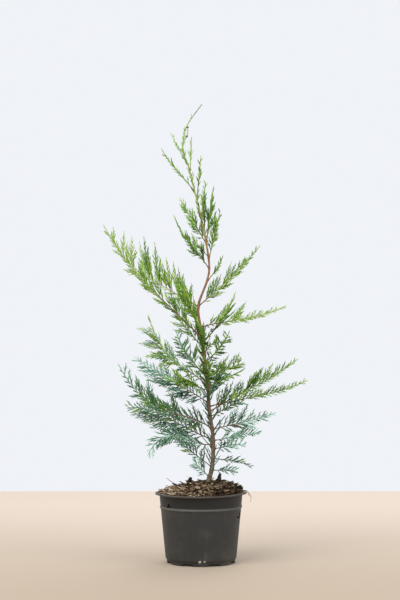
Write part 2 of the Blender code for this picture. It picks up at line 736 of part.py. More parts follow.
def make_trunk():
    """Make the trunk from its flat cut at the soil to the tip of the leader."""
    stations = [row[0] for row in TRUNK_STATIONS]
    midway = [(one + two) / 2.0 for one, two in zip(stations, stations[1:])]
    heights = sorted(stations + midway)
    centres = [trunk_axis(height) for height in heights]
    normals = [UP] + [trunk_direction(height) for height in heights[1:]]
    radii = [trunk_radius(height) for height in heights]
    mesh = tube(centres, radii, normals, TRUNK_SIDES)
    trunk = add_object("trunk", mesh, material("bark", BARK, 0.9))
    smooth_round_faces(trunk, 50.0)
    return trunk


def make_limb(skeleton):
    """Make the bare part of a bough, from the trunk to where its foliage begins."""
    name = skeleton.bough.name
    places = skeleton.stem.places(0.0, skeleton.bare, LIMB_STEP)
    centres = [skeleton.stem.point_at(t) for t in places]
    normals = [skeleton.facing] + [skeleton.stem.along(t) for t in places[1:]]
    radii = [skeleton.radius * (1.0 - LIMB_TAPER * t) for t in places]
    mesh = tube(centres, radii, normals, LIMB_SIDES)
    limb = add_object(f"bough_{name}", mesh, material(f"bark {name}", YOUNG_BARK, 0.85))
    smooth_round_faces(limb, 50.0)
    return limb


def make_mass(skeleton, crown):
    """Make one mass of foliage: its stem, side branches and twigs fused to one solid."""
    bough = skeleton.bough
    spray = Spray(skeleton, crown)
    mass = add_object(f"foliage_{bough.name}", spray.stem_mesh(),
                      material(f"foliage {bough.name}", TONES[bough.tone], 0.7))
    twigs = bpy.data.collections.new(f"twigs {bough.name}")
    bpy.context.scene.collection.children.link(twigs)
    for branch in skeleton.branches:
        add_object("side branch", spray.branch_mesh(branch), None, twigs)
    join_collection(mass, twigs, "UNION")
    keep_outer_body(mass)
    return mass


def keep_outer_body(thing):
    """Keep the largest shell of a mesh, so that scraps and sealed hollows are gone."""
    mesh = bmesh.new()
    mesh.from_mesh(thing.data)
    shells = []
    left = set(mesh.verts)
    while left:
        shell = {left.pop()}
        edge = list(shell)
        while edge:
            vert = edge.pop()
            for link in vert.link_edges:
                other = link.other_vert(vert)
                if other in left:
                    left.remove(other)
                    shell.add(other)
                    edge.append(other)
        shells.append(shell)
    largest = max(shells, key=len)
    spare = [vert for shell in shells if shell is not largest for vert in shell]
    bmesh.ops.delete(mesh, geom=spare, context="VERTS")
    mesh.to_mesh(thing.data)
    mesh.free()


def main():
    """Build the whole plant in its pot."""
    for thing in list(bpy.data.objects):
        bpy.data.objects.remove(thing)
    make_pot()
    make_soil()
    make_trunk()
    crown = Crown()
    for skeleton in crown.skeletons:
        if skeleton.bough.bare:
            make_limb(skeleton)
        make_mass(skeleton, crown)


if __name__ == "__main__":
    main()
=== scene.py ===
"""Potted hybrid cypress with its bark, sprays of scale leaves, compost and nursery pot.

Lengths are in millimetres until a mesh is made. X runs to the right, Y away from the
viewer and Z up, and the origin is the middle of the pot's underside.
"""

import json
import logging
import math
import random
from dataclasses import dataclass, field
from enum import Enum
from typing import Any, Callable, Iterable, Optional, Sequence, Union

import bmesh
import bpy
import numpy as np
from mathutils import Matrix, Vector, noise
from mathutils.kdtree import KDTree

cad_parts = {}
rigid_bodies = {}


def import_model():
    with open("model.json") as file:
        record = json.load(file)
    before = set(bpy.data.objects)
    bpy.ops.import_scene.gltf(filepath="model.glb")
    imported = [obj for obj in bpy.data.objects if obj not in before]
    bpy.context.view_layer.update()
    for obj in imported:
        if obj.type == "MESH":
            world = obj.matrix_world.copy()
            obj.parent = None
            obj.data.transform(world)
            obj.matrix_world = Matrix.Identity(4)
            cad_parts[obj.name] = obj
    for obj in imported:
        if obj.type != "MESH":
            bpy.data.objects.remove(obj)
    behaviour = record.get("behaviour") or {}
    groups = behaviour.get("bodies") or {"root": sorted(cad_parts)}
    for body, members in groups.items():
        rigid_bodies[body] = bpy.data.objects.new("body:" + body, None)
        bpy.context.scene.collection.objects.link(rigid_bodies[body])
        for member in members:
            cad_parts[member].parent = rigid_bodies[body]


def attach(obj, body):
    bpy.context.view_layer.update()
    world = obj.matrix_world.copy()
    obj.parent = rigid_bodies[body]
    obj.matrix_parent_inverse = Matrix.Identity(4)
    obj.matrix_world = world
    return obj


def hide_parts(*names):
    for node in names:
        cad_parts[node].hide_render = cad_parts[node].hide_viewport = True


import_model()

LOG = logging.getLogger("cypress")
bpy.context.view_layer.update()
MM = 0.001
ACROSS, BACK, UP = (Vector(row) for row in np.identity(3))
SEED = 4127
Triple = tuple[float, float, float]
Colour = Triple
Value = Union["Signal", float]
Sizes = tuple[tuple[float, float], ...]


# Shader building

@dataclass(frozen=True)
class Signal:
    """The output of a material's node, on which plain arithmetic adds Math nodes."""

    surface: "Surface"
    socket: bpy.types.NodeSocket

    def _math(self, operation: str, *values: Value) -> "Signal":
        """Add a Math node with these values in its sockets and return its output."""
        settings = {"operation": operation}
        return self.surface.node("ShaderNodeMath", settings, dict(enumerate(values)))

    def __add__(self, other: Value) -> "Signal":
        """Return self + other."""
        return self._math("ADD", self, other)

    def __radd__(self, other: float) -> "Signal":
        """Return other + self."""
        return self._math("ADD", other, self)

    def __sub__(self, other: Value) -> "Signal":
        """Return self - other."""
        return self._math("SUBTRACT", self, other)

    def __rsub__(self, other: float) -> "Signal":
        """Return other - self."""
        return self._math("SUBTRACT", other, self)

    def __mul__(self, other: Value) -> "Signal":
        """Return self * other."""
        return self._math("MULTIPLY", self, other)

    def __rmul__(self, other: float) -> "Signal":
        """Return other * self."""
        return self._math("MULTIPLY", other, self)

    def between(self, low: float, high: float) -> "Signal":
        """Map low to high smoothly onto 0 to 1.

        Args:
            low: The value that becomes 0.
            high: The value that becomes 1.

        Returns:
            The mapped signal.
        """
        settings = {"interpolation_type": "SMOOTHSTEP"}
        sockets = {"Value": self, "From Min": low, "From Max": high}
        return self.surface.node("ShaderNodeMapRange", settings, sockets)

    def mix(self, dark: Union[Colour, "Signal"], light: Union[Colour, "Signal"]) -> "Signal":
        """Blend two colours by this signal.

        Args:
            dark: The colour at 0.
            light: The colour at 1.

        Returns:
            The blended colour.
        """
        settings = {"data_type": "RGBA", "clamp_factor": True}
        sockets = {"Factor": self, "A": dark, "B": light}
        return self.surface.node("ShaderNodeMix", settings, sockets)


class Surface:
    """A material under construction, with its Principled shader."""

    def __init__(self, name: str, **constants: Any) -> None:
        """Make the material.

        Args:
            name: Its name.
            constants: Values of the shader's own sockets, with _ for each space.
        """
        self.material = bpy.data.materials.new(name)
        self.material.use_nodes = True
        self.tree = self.material.node_tree
        self.shader = self.tree.nodes["Principled BSDF"]
        self.feed(**constants)

    def feed(self, **values: Any) -> None:
        """Set or link sockets of the Principled shader, with _ for each space in a name."""
        for name, value in values.items():
            self._fill(self.shader.inputs[name.replace("_", " ")], value)

    def _fill(self, socket: bpy.types.NodeSocket, value: Any) -> None:
        """Link a signal to a socket, or set its value.

        Args:
            socket: The input socket.
            value: A signal, a colour, a vector or a number.
        """
        if isinstance(value, Signal):
            self.tree.links.new(value.socket, socket)
        elif socket.type == "RGBA":
            socket.default_value = (*value, 1.0)
        else:
            socket.default_value = value

    def node(self, kind: str, settings: dict[str, Any], sockets: dict[Any, Any],
             output: Union[int, str, None] = None) -> Signal:
        """Add a node.

        Args:
            kind: The node's type.
            settings: Its attributes, which are set first, with a ramp's stops as "stops".
            sockets: Values or signals by the name or number of each input.
            output: The wanted output, or None for the first that the node shows.

        Returns:
            The wanted output.
        """
        made = self.tree.nodes.new(kind)
        for name, value in settings.items():
            if name == "stops":
                self._set_stops(made.color_ramp.elements, value)
            else:
                setattr(made, name, value)
        for key, value in sockets.items():
            self._fill(self._input(made, key), value)
        if output is None:
            return Signal(self, next(socket for socket in made.outputs if socket.enabled))
        return Signal(self, made.outputs[output])

    @staticmethod
    def _input(made: bpy.types.Node, key: Union[int, str]) -> bpy.types.NodeSocket:
        """Find an input by number, or by name among those that the node uses.

        Args:
            made: The node.
            key: The number or name.

        Returns:
            The input.
        """
        if isinstance(key, int):
            return made.inputs[key]
        return next(socket for socket in made.inputs if socket.name == key and socket.enabled)

    @staticmethod
    def _set_stops(elements: Any, stops: Sequence[tuple[float, Colour]]) -> None:
        """Lay out the stops of a colour ramp.

        Args:
            elements: The ramp's elements.
            stops: Places and colours.
        """
        while len(elements) < len(stops):
            elements.new(1.0)
        for element, (place, colour) in zip(elements, stops):
            element.position = place
            element.color = (*colour, 1.0)

    def place(self, scale: Triple = (1.0, 1.0, 1.0)) -> Signal:
        """Return the object's own coordinates in metres, stretched by a factor for each axis."""
        where = self.node("ShaderNodeTexCoord", {}, {}, "Object")
        return self.node("ShaderNodeVectorMath", {"operation": "MULTIPLY"}, {0: where, 1: scale})

    def axis(self, name: str) -> Signal:
        """Return the object's own coordinate along the axis of that name, in metres."""
        where = self.node("ShaderNodeTexCoord", {}, {}, "Object")
        return self.node("ShaderNodeSeparateXYZ", {}, {0: where}, name)

    def noise(self, size: float, detail: float = 3.0, roughness: float = 0.55,
              scale: Triple = (1.0, 1.0, 1.0)) -> Signal:
        """Return cloudy noise from 0 to 1.

        Args:
            size: The size of its patches in millimetres.
            detail: How many octaves it has.
            roughness: How strong the fine octaves are.
            scale: A stretch for each axis.

        Returns:
            The noise.
        """
        return self.node("ShaderNodeTexNoise", {}, {
            "Vector": self.place(scale),
            "Scale": 1.0 / (size * MM),
            "Detail": detail,
            "Roughness": roughness,
        })

    def bump(self, height: Signal, depth: float, strength: float = 1.0) -> None:
        """Give the surface relief by a signal from 0 to 1, this many millimetres deep."""
        sockets = {"Height": height, "Distance": depth * MM, "Strength": strength}
        self.feed(Normal=self.node("ShaderNodeBump", {}, sockets))


def tinted(colour: Colour, factor: float, lift: float = 0.0) -> Colour:
    """Return a colour made darker or lighter by a factor and a lift."""
    return tuple(min(part * factor + lift, 1.0) for part in colour)


# Finishes

@dataclass(frozen=True)
class LeafFinish:
    """The waxy skin of scale leaves in one tone, with the record's material slot for it."""

    name: str
    slot: str
    colour: Colour
    bloom: float = 0.0
    darker: float = 0.82
    lighter: float = 1.16

    def material(self) -> bpy.types.Material:
        """Make the material.

        Returns:
            A material with a little speckle and a dull waxy gloss.
        """
        surface = Surface(self.name, Specular_IOR_Level=0.2)
        speckle = surface.noise(1.6, 2.0).between(0.3, 0.75)
        low = tinted(self.colour, self.darker)
        high = tinted(self.colour, self.lighter, self.bloom)
        surface.feed(Base_Color=speckle.mix(low, high), Roughness=0.62 - 0.12 * speckle)
        surface.bump(surface.noise(0.6, 2.0), 0.05, 0.4)
        return surface.material


@dataclass(frozen=True)
class BarkFinish:
    """Thin bark whose colour changes from the foot of the plant to its tip."""

    name: str
    stops: tuple[tuple[float, Colour], ...]
    reach: float
    fissures: float

    def material(self) -> bpy.types.Material:
        """Make the material.

        Returns:
            A matt material with fissures along the wood and paler flakes.
        """
        surface = Surface(self.name, Specular_IOR_Level=0.25)
        share = surface.axis("Z") * (1.0 / (self.reach * MM))
        tone = surface.node("ShaderNodeValToRGB", {"stops": self.stops}, {"Fac": share}, "Color")
        crack = surface.noise(1.1, 4.0, 0.6, (1.0, 1.0, self.fissures)).between(0.36, 0.6)
        flake = surface.noise(5.0, 3.0, 0.6, (1.0, 1.0, 0.5)).between(0.52, 0.7)
        shade = crack.mix((0.42, 0.4, 0.38), (1.0, 1.0, 1.0))
        body = surface.node("ShaderNodeMix", {"data_type": "RGBA", "blend_type": "MULTIPLY"},
                            {"Factor": 0.75, "A": tone, "B": shade})
        pale = surface.node("ShaderNodeMix", {"data_type": "RGBA", "blend_type": "SCREEN"},
                            {"Factor": flake * 0.35, "A": body, "B": (0.22, 0.2, 0.17)})
        surface.feed(Base_Color=pale, Roughness=0.95 - 0.2 * crack)
        surface.bump(crack, 0.35, 0.9)
        return surface.material


@dataclass(frozen=True)
class CrumbFinish:
    """Bark chips, fibres and crumbs of the compost in one tone."""

    name: str
    colour: Colour
    grain: float = 2.5
    darker: float = 0.45
    lighter: float = 1.35

    def material(self) -> bpy.types.Material:
        """Make the material.

        Returns:
            A dull material with the grain of torn bark.
        """
        surface = Surface(self.name, Specular_IOR_Level=0.2)
        grain = surface.noise(self.grain, 4.0, 0.65).between(0.3, 0.72)
        tone = grain.mix(tinted(self.colour, self.darker), tinted(self.colour, self.lighter))
        surface.feed(Base_Color=tone, Roughness=0.95 - 0.15 * grain)
        surface.bump(surface.noise(0.7, 3.0, 0.7), 0.3, 0.8)
        return surface.material


@dataclass(frozen=True)
class PlasticFinish:
    """Recycled black nursery plastic, dull with handling and splashed compost, with painted
    highlights, sheen and shadow.
    """

    name: str
    colour: Colour = (0.026, 0.026, 0.025)
    # Dusty grey-brown that also paints the highlights on the lip and the bead and the sheen at the
    # sides.
    dust_and_highlight: Colour = (0.098, 0.08, 0.063)
    splash: Colour = (0.09, 0.068, 0.048)
    grit: Colour = (0.55, 0.54, 0.5)
    # Near-black of the painted shadow in the band under the lip.
    black: Colour = (0.006, 0.006, 0.005)
    # Pale grey of the painted highlight along the bead.
    bead_highlight: Colour = (0.13, 0.13, 0.124)
    specks: tuple[tuple[Triple, float], ...] = (((-2.2, -65, 8.6), 3.3),
                                                ((6.4, -64.5, 9.6), 2.7))

    def speckled(self, surface: Surface) -> Signal:
        """Return a mask of the ragged specks.

        Args:
            surface: The material's surface.

        Returns:
            1 in a speck and 0 elsewhere.
        """
        ragged = surface.noise(2.6, 2.0) * 0.003 - 0.0015
        mask: Value = 0.0
        for place, radius in self.specks:
            spot = tuple(part * MM for part in place)
            far = surface.node("ShaderNodeVectorMath", {"operation": "DISTANCE"},
                               {0: surface.place(), 1: spot}, "Value") + ragged
            mask = mask + (1.0 - far.between(radius * 0.6 * MM, radius * MM))
        return mask.between(0.0, 1.0)

    def material(self) -> bpy.types.Material:
        """Make the material.

        Returns:
            A matt material with dusty patches, run marks, a moulded grain, painted highlights,
            painted sheen and a painted shadow under the lip.
        """
        surface = Surface(self.name, Specular_IOR_Level=0.32)
        cloud = surface.noise(38.0, 4.0, 0.6).between(0.42, 0.78)
        runs = surface.noise(9.0, 4.0, 0.6, (1.0, 1.0, 0.12)).between(0.5, 0.82)
        grit = surface.noise(2.2, 3.0, 0.7).between(0.64, 0.74)
        height = surface.axis("Z")
        low = 1.0 - height.between(0.004, 0.045)
        across = surface.axis("X")
        # Lighter at the left and right edges: dusty streaks and painted sheen.
        side = (across * across).between(0.002, 0.0052)
        # Painted highlight along the top of the lip.
        lip = height.between(0.1262, 0.1275)
        # Painted shadow in the band from the bead up to the lip.
        neck = height.between(0.1055, 0.1075) * (1.0 - lip)
        # Painted highlight along the bead.
        bead = height.between(0.1003, 0.1015) * (1.0 - height.between(0.1045, 0.106))
        # Dusty clouds, runs and a lighter foot, with painted sheen at the sides.
        dust_and_painted_light = cloud * 0.34 + runs * 0.26 + low * 0.14 + side * runs * 0.45
        # Painted highlights on the lip and the bead.
        dust_and_painted_light = dust_and_painted_light + lip * 0.4 + bead * 0.25
        # The painted shadow under the lip takes the lighter layer away.
        dust_and_painted_light = (dust_and_painted_light - neck * 0.22).between(0.0, 1.0)
        body = dust_and_painted_light.mix(self.colour, self.dust_and_highlight)
        speck = grit * surface.noise(24.0, 2.0).between(0.45, 0.7) * 0.55
        body = speck.mix(body, self.splash)
        # Painted shadow under the lip, nearly black.
        body = (neck * 0.7).mix(body, self.black)
        # Painted highlight along the bead, pale grey.
        body = (bead * 0.4).mix(body, self.bead_highlight)
        body = self.speckled(surface).mix(body, self.grit)
        surface.feed(Base_Color=body, Roughness=0.52 + 0.28 * dust_and_painted_light)
        relief = surface.noise(0.9, 2.0) * 0.5 + surface.noise(26.0, 2.0) * 0.5
        surface.bump(relief, 0.35, 0.35)
        return surface.material


@dataclass(frozen=True)
class StudioFinish:
    """The matt floor, with painted shade that darkens it towards the front."""

    name: str
    near: Colour
    far: Colour

    def material(self) -> bpy.types.Material:
        """Make the material.

        Returns:
            A matt material with painted shade, darker at the front and paler at the back, with the
            faintest cloudiness.
        """
        surface = Surface(self.name, Roughness=0.9, Specular_IOR_Level=0.1)
        # Painted shade: the floor grows darker towards the camera.
        back = surface.axis("Y").between(-0.5, 1.2)
        cloud = surface.noise(300.0, 2.0) * 0.06
        surface.feed(Base_Color=(back + cloud).mix(self.near, self.far))
        return surface.material


class Tone(Enum):
    """The greens of the scale leaves, from the freshest tips to deep shade."""

    LIME_TIP = LeafFinish("leaf_lime_tip", "foliage_lime", (0.48, 0.64, 0.29))
    LIME = LeafFinish("leaf_lime", "foliage_lime", (0.34, 0.515, 0.075))
    FRESH = LeafFinish("leaf_fresh", "foliage_green", (0.195, 0.39, 0.05))
    GREEN = LeafFinish("leaf_green", "foliage_green", (0.098, 0.23, 0.03))
    DEEP = LeafFinish("leaf_deep", "foliage_green", (0.04, 0.1, 0.016))
    BLUE_PALE = LeafFinish("leaf_blue_pale", "foliage_blue", (0.428, 0.69, 0.566), 0.05)
    BLUE = LeafFinish("leaf_blue", "foliage_blue", (0.214, 0.43, 0.29), 0.04)
    TEAL = LeafFinish("leaf_teal", "foliage_blue", (0.082, 0.205, 0.108), 0.025)
    TEAL_DEEP = LeafFinish("leaf_teal_deep", "foliage_blue", (0.032, 0.085, 0.038), 0.015)


class Palette(Enum):
    """How the greens run from the inside of a bough to its tips."""

    WHIP = (Tone.FRESH, Tone.LIME, Tone.LIME_TIP, Tone.FRESH, Tone.LIME_TIP)
    LIME = (Tone.GREEN, Tone.FRESH, Tone.LIME, Tone.LIME, Tone.LIME_TIP)
    OLIVE = (Tone.GREEN, Tone.LIME, Tone.LIME, Tone.FRESH, Tone.LIME_TIP)
    TURN = (Tone.TEAL, Tone.FRESH, Tone.BLUE, Tone.LIME_TIP, Tone.LIME_TIP)
    GREEN = (Tone.DEEP, Tone.GREEN, Tone.FRESH, Tone.FRESH, Tone.LIME)
    DARK = (Tone.DEEP, Tone.GREEN, Tone.FRESH, Tone.FRESH, Tone.LIME_TIP)
    COOL = (Tone.DEEP, Tone.GREEN, Tone.TEAL, Tone.GREEN, Tone.BLUE)
    BLUE = (Tone.DEEP, Tone.TEAL_DEEP, Tone.TEAL, Tone.TEAL, Tone.BLUE)
    PALE = (Tone.TEAL_DEEP, Tone.TEAL, Tone.BLUE, Tone.BLUE, Tone.BLUE_PALE)
    MIST = (Tone.TEAL, Tone.BLUE, Tone.BLUE, Tone.BLUE_PALE, Tone.BLUE_PALE)

    @property
    def kin(self) -> "Palette":
        """Find the greens that some side branches of a bough show in place of these.

        Returns:
            The greens that go with them.
        """
        if self in (Palette.MIST, Palette.PALE, Palette.COOL):
            return Palette.BLUE
        if self in (Palette.GREEN, Palette.WHIP, Palette.LIME):
            return Palette.OLIVE
        return Palette.LIME if self is Palette.TURN else Palette.GREEN


class Crumb(Enum):
    """The colours of the compost's chips and fibres."""

    BLACK = CrumbFinish("crumb_black", (0.018, 0.01, 0.004))
    BROWN = CrumbFinish("crumb_brown", (0.068, 0.041, 0.02))
    RUSSET = CrumbFinish("crumb_russet", (0.125, 0.072, 0.042))
    OCHRE = CrumbFinish("crumb_ochre", (0.27, 0.185, 0.105))
    STRAW = CrumbFinish("crumb_straw", (0.52, 0.42, 0.29))


# The growth rule of the plant, as its solids follow it

@dataclass(frozen=True)
class Bough:
    """One bough and the foliage that it bears."""

    name: str
    height: float
    bearing: float
    reach: float
    rise: float
    sag: float
    bare: float
    spread: float
    peak: float
    under: float
    fan: float
    lift: float
    palette: Palette
    angle: float = 38.0
    fade: float = 0.8

    @property
    def barked(self) -> float:
        """Return the share of the foliage along which the bough's own stem shows its bark."""
        return BARKED.get(self.name, 0.14)

    @property
    def low(self) -> bool:
        """Return whether the bough is among the long-shooted ones of the lower crown."""
        return self.height < 320.0


BOUGHS = tuple(Bough(*row) for row in (
    ("left_01", 160, 200, 34, 25, -2, 0, 30, 0.35, 0.8, 20, 0.1, Palette.MIST),
    ("left_02", 178, 140, 104, 61, 3, 20, 40, 0.30, 0.5, 35, 0.1, Palette.BLUE),
    ("left_03", 219, 205, 134, -18, -30, 0, 40, 0.65, 1.1, 45, -0.15, Palette.PALE),
    ("left_04", 229, 160, 173, 54, -13, 14, 52, 0.35, 0.9, 30, 0.1, Palette.BLUE),
    ("left_05", 251, 202, 185, 119, 32, 14, 50, 0.45, 0.6, 20, 0.2, Palette.COOL),
    ("left_06", 298, 146, 172, 82, 4, 12, 42, 0.35, 1.4, 40, 0.1, Palette.PALE, 38, 1.3),
    ("left_07", 330, 212, 129, 131, 28, 30, 36, 0.70, 1.2, 35, 0.1, Palette.TURN, 44),
    ("left_08", 321, 228, 110, 18, -6, 0, 44, 0.40, 0.9, 65, 0.2, Palette.OLIVE),
    ("left_09", 400, 150, 62, 70, 8, 0, 34, 0.50, 0.4, 35, 0.2, Palette.GREEN, 34),
    ("left_10", 404, 240, 42, 76, 4, 0, 30, 0.40, 1.0, 40, 0.1, Palette.GREEN, 34),
    ("left_11", 419, 204, 196, 204, 15, 14, 42, 0.35, 0.8, 25, 0.3, Palette.LIME, 36),
    ("left_12", 432, 235, 62, 78, 10, 0, 46, 0.40, 0.9, 45, 0.1, Palette.OLIVE),
    ("left_13", 477, 146, 128, 62, 2, 22, 32, 0.40, 0.6, 15, 0.7, Palette.OLIVE),
    ("left_14", 549, 216, 82, 95, 11, 0, 30, 0.30, 0.6, 30, 0.3, Palette.DARK, 28),
    ("left_15", 572, 150, 36, 34, 2, 0, 18, 0.40, 0.7, 30, 0.2, Palette.GREEN, 30),
    ("left_16", 597, 138, 66, 86, 2, 0, 25, 0.35, 1.0, 30, 0.1, Palette.DARK, 26),
    ("left_17", 694, 200, 65, 75, 5, 0, 16, 0.45, 0.7, 25, 0.4, Palette.GREEN, 30),
    ("left_18", 749, 160, 31, 53, 2, 0, 10, 0.45, 0.7, 25, 0.2, Palette.WHIP, 26),
    ("right_01", 172, -28, 54, -4, -3, 0, 28, 0.45, 0.6, 35, 0.0, Palette.MIST),
    ("right_02", 193, 10, 74, -20, -6, 0, 24, 0.40, 0.6, 40, 0.1, Palette.BLUE),
    ("right_03", 211, -42, 80, 10, -4, 0, 32, 0.35, 0.8, 45, 0.1, Palette.MIST),
    ("right_04", 226, 36, 112, 8, -4, 0, 32, 0.35, 0.8, 40, 0.1, Palette.MIST),
    ("right_05", 247, -26, 130, 34, 2, 12, 38, 0.25, 0.9, 25, 0.2, Palette.MIST, 38, 1.4),
    ("right_06", 272, -44, 96, 24, -8, 0, 28, 0.40, 0.7, 45, 0.1, Palette.COOL, 32),
    ("right_07", 290, -26, 198, 51, 6, 26, 28, 0.35, 0.4, 25, 0.3, Palette.GREEN, 30, 1.0),
    ("right_08", 281, 26, 189, 95, 6, 14, 56, 0.15, 0.3, 20, 0.3, Palette.GREEN, 34, 1.6),
    ("right_09", 328, 30, 76, 27, 0, 0, 34, 0.45, 0.8, 50, 0.1, Palette.GREEN),
    ("right_10", 348, -30, 80, 24, 0, 0, 42, 0.40, 0.8, 50, 0.2, Palette.LIME),
    ("right_11", 392, 15, 28, 28, 0, 0, 14, 0.40, 0.8, 35, 0.1, Palette.GREEN, 34),
    ("right_12", 438, 32, 195, 41, 7, 14, 30, 0.25, 0.7, 15, 0.2, Palette.LIME, 34, 1.6),
    ("right_13", 479, -36, 138, 106, 2, 12, 42, 0.15, 0.7, 20, 0.2, Palette.OLIVE, 28, 1.8),
    ("right_14", 526, 30, 34, 46, 5, 0, 17, 0.45, 0.7, 25, 0.2, Palette.GREEN, 28),
    ("right_15", 567, -50, 33, 87, 4, 0, 24, 0.50, 0.8, 35, 0.1, Palette.GREEN, 28),
    ("right_16", 597, 50, 22, 106, 6, 0, 26, 0.45, 1.0, 45, 0.1, Palette.DARK, 26),
    ("right_17", 647, -50, 14, 60, 3, 0, 15, 0.45, 0.8, 30, 0.1, Palette.DARK, 28),
    ("right_18", 681, 10, 9, 78, 4, 0, 16, 0.45, 0.8, 30, 0.1, Palette.GREEN, 26),
    ("right_19", 731, 20, 4, 62, 4, 0, 12, 0.50, 0.8, 20, 0.1, Palette.WHIP, 26),
    ("back_01", 304, 82, 150, 62, 4, 0, 46, 0.45, 0.8, 55, 0.1, Palette.BLUE),
    ("back_02", 345, 114, 148, 88, 8, 0, 46, 0.45, 0.7, 45, 0.2, Palette.COOL),
    ("back_03", 408, 60, 122, 92, 6, 0, 40, 0.45, 0.7, 45, 0.2, Palette.GREEN),
    ("back_04", 440, 118, 88, 92, 6, 0, 38, 0.45, 0.7, 40, 0.2, Palette.GREEN),
    ("back_05", 612, 98, 36, 82, 4, 0, 24, 0.45, 0.8, 40, 0.1, Palette.DARK, 30),
    ("front_01", 330, 274, 125, 46, 0, 0, 36, 0.45, 0.8, 60, 0.1, Palette.GREEN),
    ("front_02", 372, 294, 108, 58, 2, 0, 34, 0.45, 0.8, 50, 0.1, Palette.GREEN),
    ("front_03", 388, 262, 86, 66, 4, 0, 30, 0.45, 0.8, 50, 0.1, Palette.GREEN),
))

BARKED = {"left_05": 0.45, "left_06": 0.25, "left_10": 0.08, "left_11": 0.4, "left_13": 0.75,
          "right_08": 0.2, "right_09": 0.2, "right_12": 0.25, "right_13": 0.06}

FEATHERS = {
    "left_05": ((0.35, 36, 62), (0.64, 46, 50), (0.76, 21, -58)),
    "left_06": ((0.08, 30, -50), (0.18, 34, -50)),
    "left_07": ((0.50, 30, -64), (0.62, 34, -64), (0.74, 28, -62)),
    "left_11": ((0.68, 52, 40), (0.78, 40, 40), (0.88, 26, 30)),
    "left_13": ((0.06, 26, 52), (0.20, 30, 50), (0.38, 50, 48), (0.50, 48, 44), (0.62, 30, 44),
                (0.80, 48, 42), (0.93, 52, 44)),
    "right_05": ((0.12, 44, 42), (0.30, 40, 42)),
    "right_08": ((0.03, 42, 36),),
    "right_12": ((0.03, 20, 50), (0.10, 60, 33), (0.34, 46, 38)),
    "right_13": ((0.05, 36, 32), (0.08, 35, -28)),
}

LESSER_FEATHERS = {
    "back_05": ((0.15, 44, 24), (0.30, 44, -22), (0.50, 36, 22)),
    "left_03": ((0.30, 46, 30), (0.44, 46, 30), (0.58, 42, 28), (0.52, 42, -34)),
    "left_04": ((0.03, 40, 52), (0.08, 44, 48), (0.14, 44, -50), (0.30, 62, -36), (0.42, 60, -34),
                (0.54, 56, -32), (0.66, 48, -30)),
    "left_05": ((0.74, 26, -46), (0.04, 40, -52), (0.10, 44, -48)),
    "left_06": ((0.22, 36, -48), (0.34, 38, -46), (0.46, 36, -44)),
    "left_07": ((0.42, 44, 30), (0.40, 42, -46), (0.55, 44, -44), (0.67, 40, -42), (0.80, 32, -38),
                (0.62, 50, -60), (0.74, 46, -58), (0.86, 40, -54)),
    "left_08": ((0.30, 44, 24), (0.45, 44, -20), (0.60, 40, 20)),
    "left_09": ((0.50, 36, -42), (0.66, 32, -38)),
    "left_11": ((0.10, 46, 46), (0.17, 48, 46)),
    "left_12": ((0.25, 46, 32), (0.40, 52, 16), (0.55, 54, 4), (0.65, 48, -12), (0.75, 44, 20)),
    "left_13": ((0.14, 34, -46), (0.12, 44, 46), (0.25, 48, 50), (0.66, 60, 54), (0.86, 60, 50)),
    "left_14": ((0.12, 34, 30), (0.26, 32, -30), (0.36, 32, 28)),
    "left_16": ((0.10, 34, 28), (0.22, 30, -28), (0.34, 30, 26)),
    "right_10": ((0.30, 34, 38), (0.50, 30, 34)),
    "right_15": ((0.55, 40, 20), (0.30, 36, 26)),
    "right_16": ((0.08, 52, 24), (0.20, 46, -24), (0.32, 42, 24), (0.48, 34, -20)),
    "right_17": ((0.10, 34, -26),),
    "right_18": ((0.06, 34, -24),),
    "right_19": ((0.20, 18, -26), (0.45, 14, 28)),
}

TRUNK_STATIONS = (
    (148.4, 13.5, 0, 11.4),
    (156, 15.6, 0.2, 9),
    (177, 20.7, 1, 8.2),
    (211, 22.8, 2, 7.6),
    (245, 21.2, 2.5, 7.2),
    (282, 15.5, 1.5, 6.8),
    (326, 12.5, -0.5, 6.4),
    (395, 5, -3, 5.8),
    (434, -0.4, -3, 5.4),
    (477, -4.8, -1, 5),
    (525, 11.6, 2, 4.4),
    (550, 15.5, 3, 4.1),
    (592, 10.3, 3.5, 3.7),
    (658, -3, 1, 3),
    (697, -13.4, -1, 2.6),
    (739, -23.9, -2, 2.2),
    (765, -33.6, -1.5, 2),
    (789, -33.1, 0, 1.8),
    (817, -25.2, 1.5, 1.6),
    (854, 0.9, 2, 1.2),
)

GAP = 0.3
SEAT_GAP = GAP + 0.1
SWAY = 0.05
LIMB_LEAST_RADIUS = 1.2
LIMB_RADIUS_PER_LENGTH = 0.0045
STEM_SWELL = 1.15
STEM_TAPER = 0.75
BRANCH_SPACING = 23.0
BRANCH_ANGLE_JITTER = math.radians(6.0)
BRANCH_FAN_JITTER = math.radians(28.0)
BRANCH_SHORTEST = 9.0
BRANCH_LEAST = BRANCH_SHORTEST * 0.8
BRANCH_BARE = 0.1
SAMPLE_STEP = 3.0
BRANCH_CLEARANCE = 9.0
TRUNK_CLEARANCE = 7.5
SHORTENING = (1.0, 0.82, 0.66, 0.5, 0.36)
LEAST_UNDER = 0.3
LENGTH_STEPS = 20


def unit(angle: float, radius: float = 1.0) -> Vector:
    """Return the level vector at an angle round the upright."""
    return Vector((math.cos(angle), math.sin(angle), 0.0)) * radius


def lean(forward: Vector, swing: Vector, angle: float) -> Vector:
    """Return the direction that leans from one direction towards another by an angle."""
    return forward * math.cos(angle) + swing * math.sin(angle)


def off_axis(vector: Vector, axis: Vector) -> Vector:
    """Return the direction of what a vector has across an axis."""
    return (vector - axis * vector.dot(axis)).normalized()


